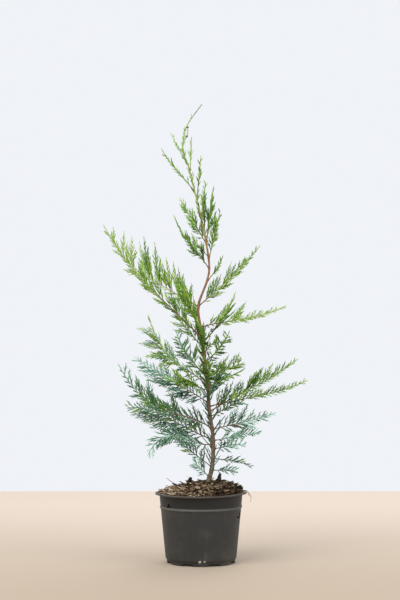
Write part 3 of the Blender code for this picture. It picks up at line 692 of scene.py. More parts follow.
def smooth_between(stations: Sequence[Sequence[float]], height: float) -> list[float]:
    """Read the values of stations on a smooth cubic curve through them.

    Args:
        stations: Rows of a height and its values.
        height: Where to read.

    Returns:
        The values at that height.
    """
    heights = [row[0] for row in stations]
    height = min(max(height, heights[0]), heights[-1])
    index = min(np.searchsorted(heights, height, side="right") - 1, len(stations) - 2)
    before = stations[max(index - 1, 0)]
    start = stations[index]
    end = stations[index + 1]
    after = stations[min(index + 2, len(stations) - 1)]
    span = end[0] - start[0]
    u = (height - start[0]) / span
    values = []
    for column in range(1, len(start)):
        slope_in = (end[column] - before[column]) / (end[0] - before[0]) * span
        slope_out = (after[column] - start[column]) / (after[0] - start[0]) * span
        a = 2.0 * start[column] - 2.0 * end[column] + slope_in + slope_out
        b = 3.0 * end[column] - 3.0 * start[column] - 2.0 * slope_in - slope_out
        values.append(((a * u + b) * u + slope_in) * u + start[column])
    return values


def trunk_axis(height: float) -> Vector:
    """Return the middle of the trunk at a height above the ground."""
    across, back, _ = smooth_between(TRUNK_STATIONS, height)
    return Vector((across, back, height))


def trunk_direction(height: float) -> Vector:
    """Return the direction in which the trunk grows at a height above the ground."""
    step = 4.0
    return (trunk_axis(height + step) - trunk_axis(height - step)).normalized()


def trunk_radius(height: float) -> float:
    """Return the trunk's radius at a height above the ground."""
    return smooth_between(TRUNK_STATIONS, height)[2] / 2.0


def envelope(place: float, peak: float, fade: float) -> float:
    """Return the length of side shoots at a place along their stem.

    Args:
        place: The place from 0 at the base to 1 at the tip.
        peak: Where the shoots are longest.
        fade: How soon they become short beyond the peak.

    Returns:
        The length, with 1 the longest.
    """
    if place < peak:
        return 0.65 + 0.35 * math.sin(math.pi / 2.0 * max(place, 0.0) / peak)
    return 0.16 + 0.84 * math.cos(math.pi / 2.0 * (place - peak) / (1.0 - peak)) ** fade


def nearest(points: np.ndarray, others: np.ndarray) -> np.ndarray:
    """Return the least distance from each point to a cloud of other points."""
    return np.sqrt(((points[:, None, :] - others[None, :, :]) ** 2).sum(axis=2)).min(axis=1)


class Curve:
    """A smooth path measured from 0 at its base to 1 at its tip, with its own directions."""

    STEP = 0.02

    def __init__(self, point_at: Callable[[float], Vector], broad: Vector) -> None:
        """Measure a path.

        Args:
            point_at: The point at each fraction of the path.
            broad: A direction in the plane of the spray.
        """
        self.point_at = point_at
        self.broad = broad
        places = [point_at(i / LENGTH_STEPS) for i in range(LENGTH_STEPS + 1)]
        self.length = sum((two - one).length for one, two in zip(places, places[1:]))

    def along(self, t: float) -> Vector:
        """Return the direction of growth at t."""
        ahead = self.point_at(min(t + self.STEP, 1.0))
        return (ahead - self.point_at(max(t - self.STEP, 0.0))).normalized()

    def frame(self, t: float) -> tuple[Vector, Vector, Vector]:
        """Find the path's own directions at a place.

        Args:
            t: The fraction of the path.

        Returns:
            The directions along it, across it in its spray's plane, and off that plane.
        """
        forward = self.along(t)
        across = off_axis(self.broad, forward)
        return forward, across, forward.cross(across)

    def samples(self, start: float = 0.0) -> np.ndarray:
        """Choose points close enough to measure the path's distance from others.

        Args:
            start: The fraction of the path where they begin.

        Returns:
            The points, one to a row.
        """
        count = max(2, round((1.0 - start) * self.length / SAMPLE_STEP) + 1)
        steps = [start + (1.0 - start) * i / (count - 1) for i in range(count)]
        return np.array([self.point_at(t)[:] for t in steps])


@dataclass(frozen=True)
class Surroundings:
    """Points on the trunk and on every other mass, which side branches keep clear of."""

    trunk: np.ndarray
    others: np.ndarray

    def clear(self, sample: np.ndarray, clearance: float) -> bool:
        """Tell whether points keep clear of the trunk, and this far from other masses."""
        return (nearest(sample, self.trunk).min() >= TRUNK_CLEARANCE
                and nearest(sample, self.others).min() >= clearance)


class Skeleton:
    """The stem and side branches of one mass of foliage, with the limb that bears it."""

    INFILL = (4, 5)
    INFILL_CLEARANCE = 4.0
    INFILL_NEAREST = 4.0
    INFILL_LAST = 0.97
    UPRIGHT = math.radians(24.0)
    UPRIGHT_REACH = 36.0
    SPARSE_ABOVE = 690.0

    def __init__(self, bough: Bough) -> None:
        """Lay out the stem.

        Args:
            bough: The bough's sizes.
        """
        self.bough = bough
        size = math.hypot(bough.reach, bough.rise)
        self.radius = LIMB_LEAST_RADIUS + LIMB_RADIUS_PER_LENGTH * size
        self.stem = self.stem_curve()
        self.bare = bough.bare / self.stem.length
        self.start = self.bare + (GAP / self.stem.length if bough.bare else 0.0)
        self.branches: list[Curve] = []
        self.joints: list[float] = []
        self.cloud = self.stem.samples()

    def stem_curve(self) -> Curve:
        """Lay the bough from just clear of the trunk to its tip.

        Returns:
            Its path.
        """
        bough = self.bough
        outward = unit(math.radians(bough.bearing))
        axis = trunk_axis(bough.height)
        self.side = outward.cross(UP)
        facing = off_axis(outward, trunk_direction(bough.height))
        base = axis + facing * (trunk_radius(bough.height) + SEAT_GAP)
        tip = axis + outward * bough.reach + UP * bough.rise
        sway = self.side * bough.reach * random.Random(bough.name).uniform(-SWAY, SWAY)

        def point_at(t: float) -> Vector:
            """Return the point at a fraction of the bough."""
            hang = bough.sag * t * t * (1.0 - t) * 27.0 / 4.0
            return base.lerp(tip, t) - UP * hang + sway * math.sin(math.pi * t)

        return Curve(point_at, UP)

    def place_on_stem(self, share: float) -> float:
        """Return the fraction of the whole bough at a share of its foliage."""
        return self.start + (1.0 - self.start) * share

    @property
    def count(self) -> int:
        """Return how many main side branches the stem should bear."""
        foliage = (1.0 - self.start) * self.stem.length
        return max(3, round(foliage / BRANCH_SPACING))

    def wanted(self, rng: random.Random, share: float, under: bool
               ) -> tuple[float, Vector, float]:
        """Choose a side branch.

        Args:
            rng: The bough's own draws.
            share: Its place as a share of the foliage.
            under: Whether it grows on the lower side.

        Returns:
            Where it leaves the stem, its direction and its full length.
        """
        bough = self.bough
        joint = self.place_on_stem(share)
        forward = self.stem.along(joint)
        over = self.side.cross(forward).normalized()
        fan = math.radians(bough.fan) + rng.uniform(-1.0, 1.0) * BRANCH_FAN_JITTER
        swing = lean(over, self.side, fan)
        angle = math.radians(bough.angle) + rng.uniform(-1.0, 1.0) * BRANCH_ANGLE_JITTER
        length = bough.spread * envelope(share, bough.peak, bough.fade) * rng.uniform(0.85, 1.1)
        if under:
            swing = -swing
            length *= max(bough.under, LEAST_UNDER)
        return joint, lean(forward, swing, angle), max(length, BRANCH_SHORTEST)

    def branch_curve(self, joint: float, direction: Vector, length: float) -> Curve:
        """Lay a side branch that turns up, or down, along its length.

        Args:
            joint: Where it leaves the stem.
            direction: Its first direction.
            length: Its length.

        Returns:
            Its path.
        """
        base = self.stem.point_at(joint)
        lift = UP * self.bough.lift / 2.0
        return Curve(lambda t: base + (direction * t + lift * t * t) * length,
                     self.stem.along(joint))

    def add(self, joint: float, direction: Vector, length: float, around: Surroundings,
            clearance: float) -> None:
        """Add a side branch, shortened or left out where it would meet another mass.

        Args:
            joint: Where it leaves the stem.
            direction: Its first direction.
            length: Its full length.
            around: What it keeps clear of.
            clearance: How far it stays from other masses.
        """
        for share in SHORTENING:
            branch = self.branch_curve(joint, direction, length * share)
            if around.clear(branch.samples(BRANCH_BARE), clearance):
                if length * share > BRANCH_LEAST:
                    self.branches.append(branch)
                    self.joints.append(joint)
                    self.cloud = np.concatenate([self.cloud, branch.samples()])
                break

    def share_of(self, number: float) -> float:
        """Return the share of the foliage at which a main side branch leaves the stem."""
        return (number + 0.7) / (self.count + 0.35)

    def grow(self, around: Surroundings) -> None:
        """Add the main side branches, which the solids have too.

        Args:
            around: What they keep clear of.
        """
        rng = random.Random(f"{SEED} {self.bough.name}")
        self.add_feathers(FEATHERS, around, BRANCH_CLEARANCE)
        for number in range(self.count):
            branch = self.wanted(rng, self.share_of(number), bool(number % 2))
            self.add(*branch, around, BRANCH_CLEARANCE)

    def add_feathers(self, feathers: dict[str, Sequence[Triple]], around: Surroundings,
                     clearance: float) -> None:
        """Add the side branches that a table gives this bough.

        Args:
            feathers: Where along its foliage, how long and how many degrees up, by bough.
            around: What they keep clear of.
            clearance: How far they stay from other masses.
        """
        for share, length, angle in feathers.get(self.bough.name, ()):
            joint = self.place_on_stem(share)
            forward = self.stem.along(joint)
            over = self.side.cross(forward).normalized()
            direction = lean(forward, over, math.radians(angle))
            self.add(joint, direction, length, around, clearance)

    def fill_in(self, around: Surroundings) -> None:
        """Add the lesser side branches between the main ones.

        Args:
            around: What they keep clear of.
        """
        self.add_feathers(LESSER_FEATHERS, around, self.INFILL_CLEARANCE)
        if self.bough.height > self.SPARSE_ABOVE:
            return
        rng = random.Random(f"{SEED} between {self.bough.name}")
        least = self.INFILL_NEAREST / self.stem.length
        each = self.INFILL[self.bough.low]
        first = -round(self.bough.bare / BRANCH_SPACING * each)
        for step in range(first - 1, each * self.count):
            share = self.share_of(step / each)
            main = step % each == 0 and step >= 0
            if main or self.place_on_stem(share) < least or share > self.INFILL_LAST:
                continue
            joint, direction, length = self.wanted(rng, share, bool(step % 2))
            near = max(0.0, 1.0 - joint * self.stem.length / self.UPRIGHT_REACH)
            outward = off_axis(direction, self.stem.along(joint))
            direction = direction.lerp(outward, near * self.UPRIGHT).normalized()
            length *= rng.uniform(0.5, 1.0)
            self.add(joint, direction, length, around, self.INFILL_CLEARANCE)


class Crown:
    """The skeletons of all the masses, which share out the space round the trunk."""

    def __init__(self) -> None:
        """Grow every skeleton, the longest boughs first."""
        heights = np.arange(TRUNK_STATIONS[0][0], TRUNK_STATIONS[-1][0], SAMPLE_STEP)
        self.trunk = np.array([trunk_axis(height)[:] for height in heights])
        self.skeletons = [Skeleton(bough) for bough in BOUGHS]
        order = sorted(self.skeletons, key=lambda item: -item.stem.length)
        for skeleton in order:
            skeleton.grow(self.around(skeleton))
        for skeleton in order:
            skeleton.fill_in(self.around(skeleton))
        clouds = [self.trunk, *(skeleton.cloud for skeleton in self.skeletons)]
        self.tree = KDTree(sum(len(cloud) for cloud in clouds))
        for owner, cloud in enumerate(clouds):
            for point in cloud:
                self.tree.insert(point, owner)
        self.tree.balance()

    def around(self, skeleton: Skeleton) -> Surroundings:
        """Return points on the trunk and on every mass but one."""
        others = [other.cloud for other in self.skeletons if other is not skeleton]
        return Surroundings(self.trunk, np.concatenate(others))

    def owns(self, mass: int, point: Vector) -> bool:
        """Tell whether a point lies nearer to a mass's own skeleton than to any other."""
        return self.tree.find(point)[1] == mass + 1


# Meshes

def add_piece(name: str, points: np.ndarray, faces: Sequence[np.ndarray],
              material: bpy.types.Material, slot: str, nodes: Iterable[str],
              smooth: bool = False) -> None:
    """Make a piece of the plant.

    Args:
        name: Its name.
        points: Its corners in millimetres.
        faces: Arrays of corner numbers, one for each number of corners.
        material: Its finish.
        slot: The record's material slot.
        nodes: The solids that it stands for.
        smooth: Whether its faces are shaded smooth.
    """
    data = bpy.data.meshes.new(name)
    data.vertices.add(len(points))
    data.vertices.foreach_set("co", (points * MM).astype(np.float32).ravel())
    sizes = np.concatenate([np.full(len(group), group.shape[1]) for group in faces])
    data.loops.add(int(sizes.sum()))
    corners = np.concatenate([group.ravel() for group in faces])
    data.loops.foreach_set("vertex_index", corners.astype(np.int32))
    data.polygons.add(len(sizes))
    starts = np.concatenate([[0], np.cumsum(sizes)[:-1]])
    data.polygons.foreach_set("loop_start", starts.astype(np.int32))
    data.update(calc_edges=True)
    data.validate()
    data.polygons.foreach_set("use_smooth", np.full(len(sizes), smooth))
    dress(put(name, data), material, slot, nodes)


def put(name: str, data: bpy.types.ID) -> bpy.types.Object:
    """Put a mesh, a light or a camera into the scene.

    Args:
        name: The name of the object that shows it.
        data: The mesh, light or camera.

    Returns:
        The object.
    """
    thing = bpy.data.objects.new(name, data)
    bpy.context.scene.collection.objects.link(thing)
    return thing


def put_shape(name: str, shape: bmesh.types.BMesh) -> bpy.types.Object:
    """Put a shape that is done into the scene.

    Args:
        name: The name of the object that shows it.
        shape: The shape, which is freed.

    Returns:
        The object.
    """
    data = bpy.data.meshes.new(name)
    shape.to_mesh(data)
    shape.free()
    return put(name, data)


def dress(thing: bpy.types.Object, material: bpy.types.Material, slot: str,
          nodes: Iterable[str]) -> None:
    """Finish a piece, fix it to the plant and hide the solids that it stands for.

    Args:
        thing: The piece.
        material: Its finish.
        slot: The record's material slot; not used.
        nodes: The solids that it stands for.
    """
    thing.data.materials.clear()
    thing.data.materials.append(material)
    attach(thing, "root")
    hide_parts(*nodes)
    triangles = sum(len(face.vertices) - 2 for face in thing.data.polygons)
    LOG.info("%s: %d triangles", thing.name, triangles)


@dataclass
class Tubes:
    """Round stems of any path and so many sides, gathered into one mesh."""

    sides: int
    points: list[np.ndarray] = field(default_factory=list)
    quads: list[np.ndarray] = field(default_factory=list)
    caps: list[np.ndarray] = field(default_factory=list)
    total: int = 0

    def add(self, centres: Sequence[Vector], radii: Sequence[float],
            relief: Optional[Callable[[float, int], float]] = None) -> None:
        """Add a stem.

        Args:
            centres: The middles of its rings.
            radii: Their radii.
            relief: What is added to the radius, from the angle and the ring.
        """
        guide = Vector((0.31, 0.87, 0.38))
        rings = []
        for index, (centre, radius) in enumerate(zip(centres, radii)):
            before = centres[max(index - 1, 0)]
            after = centres[min(index + 1, len(centres) - 1)]
            normal = (after - before).normalized()
            guide = off_axis(guide, normal)
            side = normal.cross(guide)
            for number in range(self.sides):
                angle = math.tau * number / self.sides
                extra = relief(angle, index) if relief else 0.0
                rings.append((centre + lean(guide, side, angle) * (radius + extra))[:])
        count = len(centres)
        grid = self.total + np.arange(count * self.sides).reshape(count, self.sides)
        turned = np.roll(grid, -1, axis=1)
        self.quads.append(np.stack(
            [grid[:-1], turned[:-1], turned[1:], grid[1:]], axis=-1).reshape(-1, 4))
        self.caps.append(np.stack([grid[0][::-1], grid[-1]]))
        self.points.append(np.array(rings))
        self.total += len(rings)

    def piece(self, name: str, material: bpy.types.Material, slot: str,
              nodes: Iterable[str]) -> None:
        """Make the gathered stems one piece of a finish, which stands for these solids."""
        faces = [np.concatenate(self.quads), np.concatenate(self.caps)]
        add_piece(name, np.concatenate(self.points), faces, material, slot, nodes, True)


@dataclass
class Shoot:
    """One leafy shoot, a gently bent line with pairs of scale leaves."""

    base: Vector
    direction: Vector
    bend: Vector
    length: float
    side: Vector
    radius: float
    tip_radius: float
    leaf: float = 1.0
    bare: float = 0.0

    @classmethod
    def straight(cls, base: Vector, tip: Vector, side: Vector, radius: float, tip_radius: float,
                 leaf: float) -> "Shoot":
        """Return the shoot that runs straight from one point to another.

        Args:
            base: The one point.
            tip: The other.
            side: A direction across it.
            radius: The radius of its core at the base.
            tip_radius: That at the tip.
            leaf: The size of its leaves.

        Returns:
            The shoot.
        """
        along = tip - base
        return cls(base, along.normalized(), Vector(), along.length, side, radius, tip_radius,
                   leaf)

    def point(self, t: float) -> Vector:
        """Return the point at a fraction of the shoot."""
        return self.base + (self.direction * t + self.bend * (t * t)) * self.length


@dataclass
class LeafMesh:
    """Turns many shoots of one tone into a mesh of cores and scale leaves."""

    pitch: float = 1.15
    leaf_length: float = 2.2
    leaf_width: float = 0.72
    side_angle: float = math.radians(12.5)
    face_angle: float = math.radians(7.0)
    section: float = 5.0
    core_sides: int = 3

    def counts(self, shoot: Shoot) -> tuple[int, int]:
        """Return how many pairs of leaves and sections of core a shoot has."""
        leafy = shoot.length * (1.0 - shoot.bare)
        return (max(2, round(leafy / (self.pitch * shoot.leaf))),
                max(1, round(shoot.length / self.section)))

    def build(self, shoots: Sequence[Shoot]) -> tuple[np.ndarray, np.ndarray]:
        """Make the mesh of some shoots.

        Args:
            shoots: The shoots.

        Returns:
            Its corners and its triangles.
        """
        groups: dict[tuple[int, int], list[Shoot]] = {}
        for shoot in shoots:
            groups.setdefault(self.counts(shoot), []).append(shoot)
        points, faces, total = [], [], 0
        for (pairs, sections), members in sorted(groups.items()):
            for part_points, part_faces in (self.leaves(members, pairs),
                                            self.cores(members, sections)):
                points.append(part_points)
                faces.append(part_faces + total)
                total += len(part_points)
        return np.concatenate(points), np.concatenate(faces)

    @staticmethod
    def table(members: Sequence[Shoot], name: str) -> np.ndarray:
        """Gather one property of some shoots.

        Args:
            members: The shoots.
            name: The property.

        Returns:
            An array with a row for each shoot, ready to be spread along it.
        """
        values = [getattr(shoot, name) for shoot in members]
        if isinstance(values[0], Vector):
            return np.array([value[:] for value in values])[:, None, :]
        return np.array(values)[:, None]

    def lines(self, members: Sequence[Shoot], t: np.ndarray
              ) -> tuple[np.ndarray, np.ndarray, np.ndarray, np.ndarray, np.ndarray]:
        """Work out points and directions along shoots.

        Args:
            members: The shoots.
            t: Fractions, one row for each shoot.

        Returns:
            The points, the directions along, across and off the spray, and the core's radius.
        """
        base, direction, bend, side, length, radius, tip_radius = (
            self.table(members, name)
            for name in ("base", "direction", "bend", "side", "length", "radius", "tip_radius"))
        share = t[..., None]
        points = base + (direction * share + bend * share ** 2) * length[..., None]
        along = direction + 2.0 * bend * share
        along /= np.linalg.norm(along, axis=-1, keepdims=True)
        across = side + 0.0 * along
        across = across - along * (across * along).sum(-1, keepdims=True)
        across /= np.linalg.norm(across, axis=-1, keepdims=True)
        return points, along, across, np.cross(along, across), radius + (tip_radius - radius) * t

    def leaves(self, members: Sequence[Shoot], pairs: int) -> tuple[np.ndarray, np.ndarray]:
        """Make the scale leaves of shoots that have the same number of pairs.

        Args:
            members: The shoots.
            pairs: How many pairs of leaves each has.

        Returns:
            The corners and triangles.
        """
        bare = self.table(members, "bare")
        t = bare + (1.0 - bare) * (np.arange(pairs)[None, :] + 0.3) / pairs
        points, along, across, off, radius = self.lines(members, t)
        odd = (np.arange(pairs) % 2 == 1)[None, :, None]
        outward = np.where(odd, off, across)
        wide = np.where(odd, across, off)
        angle = np.where(odd, self.face_angle, self.side_angle)
        scale = self.table(members, "leaf")[..., None]
        taper = 1.0 - 0.45 * t[..., None] ** 3
        length = self.leaf_length * scale * taper
        half = self.leaf_width * scale * taper
        core = radius[..., None]
        rise = length * np.sin(angle)
        ahead = length * np.cos(angle)
        corners = []
        for sign in (1.0, -1.0):
            out = outward * sign
            foot = points + out * core * 0.3
            shoulder = points + along * ahead * 0.42 + out * (core * 0.8 + rise * 0.34)
            corners += [foot, shoulder + wide * half * sign, shoulder - wide * half * sign,
                        shoulder + out * half * 0.55, points + along * ahead + out * (core + rise)]
        block = np.stack(corners, axis=2)
        pattern = np.array([(0, 1, 3), (1, 4, 3), (3, 4, 2), (0, 3, 2)])
        pattern = np.concatenate([pattern, pattern + 5])
        return self.spread(block.reshape(-1, 10, 3), pattern)

    def cores(self, members: Sequence[Shoot], sections: int) -> tuple[np.ndarray, np.ndarray]:
        """Make the cores of shoots that have the same number of sections.

        Args:
            members: The shoots.
            sections: How many sections each has.

        Returns:
            The corners and triangles.
        """
        t = np.tile(np.linspace(0.0, 1.0, sections + 1), (len(members), 1))
        points, along, across, off, radius = self.lines(members, t)
        rings = []
        for number in range(self.core_sides):
            angle = math.tau * number / self.core_sides
            out = across * math.cos(angle) + off * math.sin(angle)
            rings.append(points + out * radius[..., None])
        block = np.stack(rings, axis=2).reshape(len(members), -1, 3)
        tip = points[:, -1:] + along[:, -1:] * radius[:, -1:, None] * 2.0
        block = np.concatenate([block, tip], axis=1)
        sides = self.core_sides
        last = sections * sides
        ring = np.arange(last + sides)
        after = ring + 1 - sides * (ring % sides == sides - 1)
        walls = np.stack([ring, after, after + sides, ring, after + sides, ring + sides], -1)
        tips = np.stack([ring, after, np.full_like(ring, last + sides)], -1)
        foot = [(0, number + 1, number) for number in range(1, sides - 1)]
        pattern = np.concatenate([walls[:last].reshape(-1, 3), tips[last:], foot])
        return self.spread(block, pattern)

    @staticmethod
    def spread(block: np.ndarray, pattern: np.ndarray) -> tuple[np.ndarray, np.ndarray]:
        """Repeat a pattern of triangles over blocks of corners.

        Args:
            block: Corners, by block and by corner.
            pattern: The triangles of one block.

        Returns:
            All the corners and all the triangles.
        """
        size = block.shape[1]
        shift = np.arange(len(block))[:, None, None] * size
        return block.reshape(-1, 3), (pattern[None] + shift).reshape(-1, 3)


@dataclass
class Foliage:
    """The scale leaves of the whole plant, gathered by tone."""

    crown: Crown
    mesher: LeafMesh = field(default_factory=LeafMesh)
    shoots: dict[Tone, list[Shoot]] = field(default_factory=lambda: {tone: [] for tone in Tone})
    nodes: dict[Tone, set[str]] = field(default_factory=lambda: {tone: set() for tone in Tone})

    def grow(self) -> None:
        """Grow every shoot of the crown."""
        for mass, skeleton in enumerate(self.crown.skeletons):
            name = skeleton.bough.name
            rng = random.Random(f"{SEED} leaves {name}")
            BoughSprays(self, rng, (f"foliage_{name}",), skeleton=skeleton, mass=mass).grow()
        LeaderSprays(self, random.Random(f"{SEED} leader")).grow()

    def build(self) -> None:
        """Grow the shoots and make the leaf pieces, each of one tone."""
        self.grow()
        for tone, shoots in self.shoots.items():
            points, faces = self.mesher.build(shoots)
            add_piece(tone.value.name, points, [faces], tone.value.material(), tone.value.slot,
                      sorted(self.nodes[tone]))


@dataclass
class Sprays:
    """What sets leafy shoots on one part of the plant."""

    foliage: Foliage
    rng: random.Random
    nodes: tuple[str, ...] = ()
    shoot_angle: float = math.radians(25.0)
    shoot_jitter: float = math.radians(5.0)
    out_of_plane: float = math.radians(20.0)
    twiglet_pitch: float = 5.4
    twiglet_range: tuple[float, float] = (2.2, 8.0)
    twiglet_share: float = 0.42

    def keep(self, tone: Tone, shoot: Shoot) -> None:
        """File a shoot under its tone."""
        self.foliage.shoots[tone].append(shoot)
        self.foliage.nodes[tone].update(self.nodes)

    def fork(self, forward: Vector, across: Vector, face: Vector) -> tuple[Vector, Vector]:
        """Choose the direction of a side shoot.

        Args:
            forward: The direction of what bears it.
            across: The side of the spray on which it grows.
            face: The direction off the spray.

        Returns:
            Its direction, and the way that it swings out.
        """
        angle = self.shoot_angle + self.rng.uniform(-1.0, 1.0) * self.shoot_jitter
        swing = lean(across, face, self.rng.uniform(-1.0, 1.0) * self.out_of_plane)
        return lean(forward, swing, angle), swing

    def twiglets(self, parent: Shoot, tone: Callable[[], Tone]) -> None:
        """Set the finest shoots on a shoot.

        Args:
            parent: The shoot that bears them.
            tone: Chooses the tone of each.
        """
        low, high = self.twiglet_range
        count = int(parent.length * 0.8 / self.twiglet_pitch)
        normal = parent.side.cross(parent.direction).normalized()
        for number in range(count):
            turn = 1.0 if number % 2 else -1.0
            t = 0.18 + 0.74 * (number + self.rng.uniform(0.2, 0.8)) / count
            length = min(parent.length * self.twiglet_share * (1.1 - t),
                         0.7 * (1.0 - t) * parent.length, high)
            if length < low:
                continue
            forward = (parent.direction + parent.bend * (2.0 * t)).normalized()
            direction, swing = self.fork(forward, parent.side * turn, normal)
            self.keep(tone(), Shoot(parent.point(t), direction, forward * 0.12, length, swing,
                                    parent.radius * 0.85, 0.28, parent.leaf * 0.92))


@dataclass
class BoughSprays(Sprays):
    """The sprays of one bough, set on its stem and its side branches."""

    skeleton: Skeleton = field(kw_only=True)
    mass: int = field(kw_only=True)
    spray_pitch: tuple[float, float] = (4.4, 5.1)
    spray_share: tuple[float, float] = (0.46, 0.6)
    stoutness: tuple[float, float] = (1.0, 0.92)
    spray_range: tuple[float, float] = (2.6, 25.0)
    stem_spray: float = 13.0
    stem_step: float = 9.0
    twiglet_least: float = 12.0
    tone_spread: float = 0.19
    kin_share: float = 0.22
    whim: float = 0.16

    def grow(self) -> None:
        """Dress the side branches, and then the stem."""
        for branch, joint in zip(self.skeleton.branches, self.skeleton.joints):
            self.clothe_branch(branch, self.out_at(joint))
        self.clothe_stem()

    def out_at(self, t: float) -> float:
        """Return how far out a fraction of the stem is, as a share of its foliage."""
        return (t - self.skeleton.start) / (1.0 - self.skeleton.start)

    def tone_of(self, palette: Palette, place: float) -> Tone:
        """Choose the tone of a spray from 0 inside the crown to 1 at its tips."""
        index = int(len(palette.value) * (place * 0.92 + self.rng.gauss(0.0, self.tone_spread)))
        return palette.value[min(max(index, 0), len(palette.value) - 1)]

    def fits(self, shoot: Shoot) -> bool:
        """Shorten a shoot until it keeps to its own mass.

        Args:
            shoot: The shoot.

        Returns:
            Whether it does so at any length.
        """
        full = shoot.length
        for cut in SHORTENING:
            shoot.length = full * cut
            if all(self.foliage.crown.owns(self.mass, shoot.point(t)) for t in (1.0, 0.6)):
                return True
        return False

    def feather(self, curve: Curve, start: float, high: float, slant: float, palette: Palette,
                place_at: Callable[[float], float]) -> None:
        """Set alternate shoots along a curve, and twiglets on the longer ones.

        Args:
            curve: The stem or side branch.
            start: Where the shoots begin.
            high: The most that a shoot measures.
            slant: The most that it measures as a share of what is left of the curve.
            palette: Its greens.
            place_at: From a fraction of the curve to a place for the tone.
        """
        rng = self.rng
        full = (1.0 - start) * curve.length
        low_down = self.skeleton.bough.low
        stout = self.stoutness[low_down]
        count = max(2, round(full / self.spray_pitch[low_down]))
        turn = rng.choice((1.0, -1.0))
        for number in range(count):
            turn = -turn
            share = (number + rng.uniform(0.15, 0.75)) / count
            t = start + (1.0 - start) * share
            swell = min(1.0, 0.65 + 3.0 * share) * (1.0 - share) ** 1.1
            length = min(full * self.spray_share[low_down] * swell * rng.uniform(0.8, 1.2), high,
                         slant * (1.0 - t) * curve.length)
            if length < self.spray_range[0]:
                continue
            forward, across, face = curve.frame(t)
            direction, _ = self.fork(forward, across * turn, face)
            bend = forward * rng.uniform(0.05, 0.22) + UP * rng.uniform(-0.02, 0.08)
            shoot = Shoot(curve.point_at(t), direction, bend, length,
                          face.cross(direction).normalized(), 0.80 * stout, 0.3)
            if not self.fits(shoot):
                continue
            tone = self.tone_of(palette, place_at(t))
            shoot.leaf = rng.uniform(0.95, 1.15) * stout
            self.keep(tone, shoot)
            if shoot.length > self.twiglet_least:
                place = place_at(t) + 0.1
                self.twiglets(shoot, lambda: self.tone_of(palette, place))

    def clothe_branch(self, branch: Curve, out: float) -> None:
        """Dress one side branch.

        Args:
            branch: The side branch.
            out: How far out on the stem's foliage it grows.
        """
        whim = self.rng.uniform(-self.whim, self.whim)

        def place_at(t: float) -> float:
            """Return how far out in the crown a fraction of the branch is."""
            return whim + 0.5 * out + 0.5 * t

        palette = self.skeleton.bough.palette
        if self.rng.random() < self.kin_share:
            palette = palette.kin
        base = branch.point_at(0.0)
        direction = branch.along(0.0)
        bend = (branch.point_at(1.0) - base) / branch.length - direction
        bare = min(0.3, 4.0 / branch.length)
        self.keep(self.tone_of(palette, place_at(0.5)), Shoot(
            base, direction, bend, branch.length, branch.frame(0.5)[1], 0.95, 0.34, 1.1, bare))
        high = min(self.spray_range[1], self.skeleton.bough.spread * 0.62)
        self.feather(branch, bare, high, 0.5, palette, place_at)

    def clothe_stem(self) -> None:
        """Dress the outer stretch of the stem."""
        skeleton = self.skeleton
        stem = skeleton.stem
        palette = skeleton.bough.palette

        def place_at(t: float) -> float:
            """Return how far out in the crown a fraction of the stem is."""
            return 0.25 + 0.75 * self.out_at(t)

        middle = skeleton.place_on_stem(skeleton.bough.barked)
        count = max(2, round((1.0 - middle) * stem.length / self.stem_step))
        steps = [middle + (1.0 - middle) * number / count for number in range(count + 1)]
        for t, after in zip(steps, steps[1:]):
            wide, thin = (skeleton.radius * (STEM_SWELL - STEM_TAPER * u) * 0.5
                          for u in (t, after))
            self.keep(self.tone_of(palette, place_at(t)), Shoot.straight(
                stem.point_at(t), stem.point_at(after), stem.frame(t)[1], wide, thin, 1.25))
        middle = max(middle, skeleton.place_on_stem(0.3))
        high = min(self.stem_spray, skeleton.bough.spread * 0.5)
        self.feather(stem, middle, high, 0.22, palette, place_at)


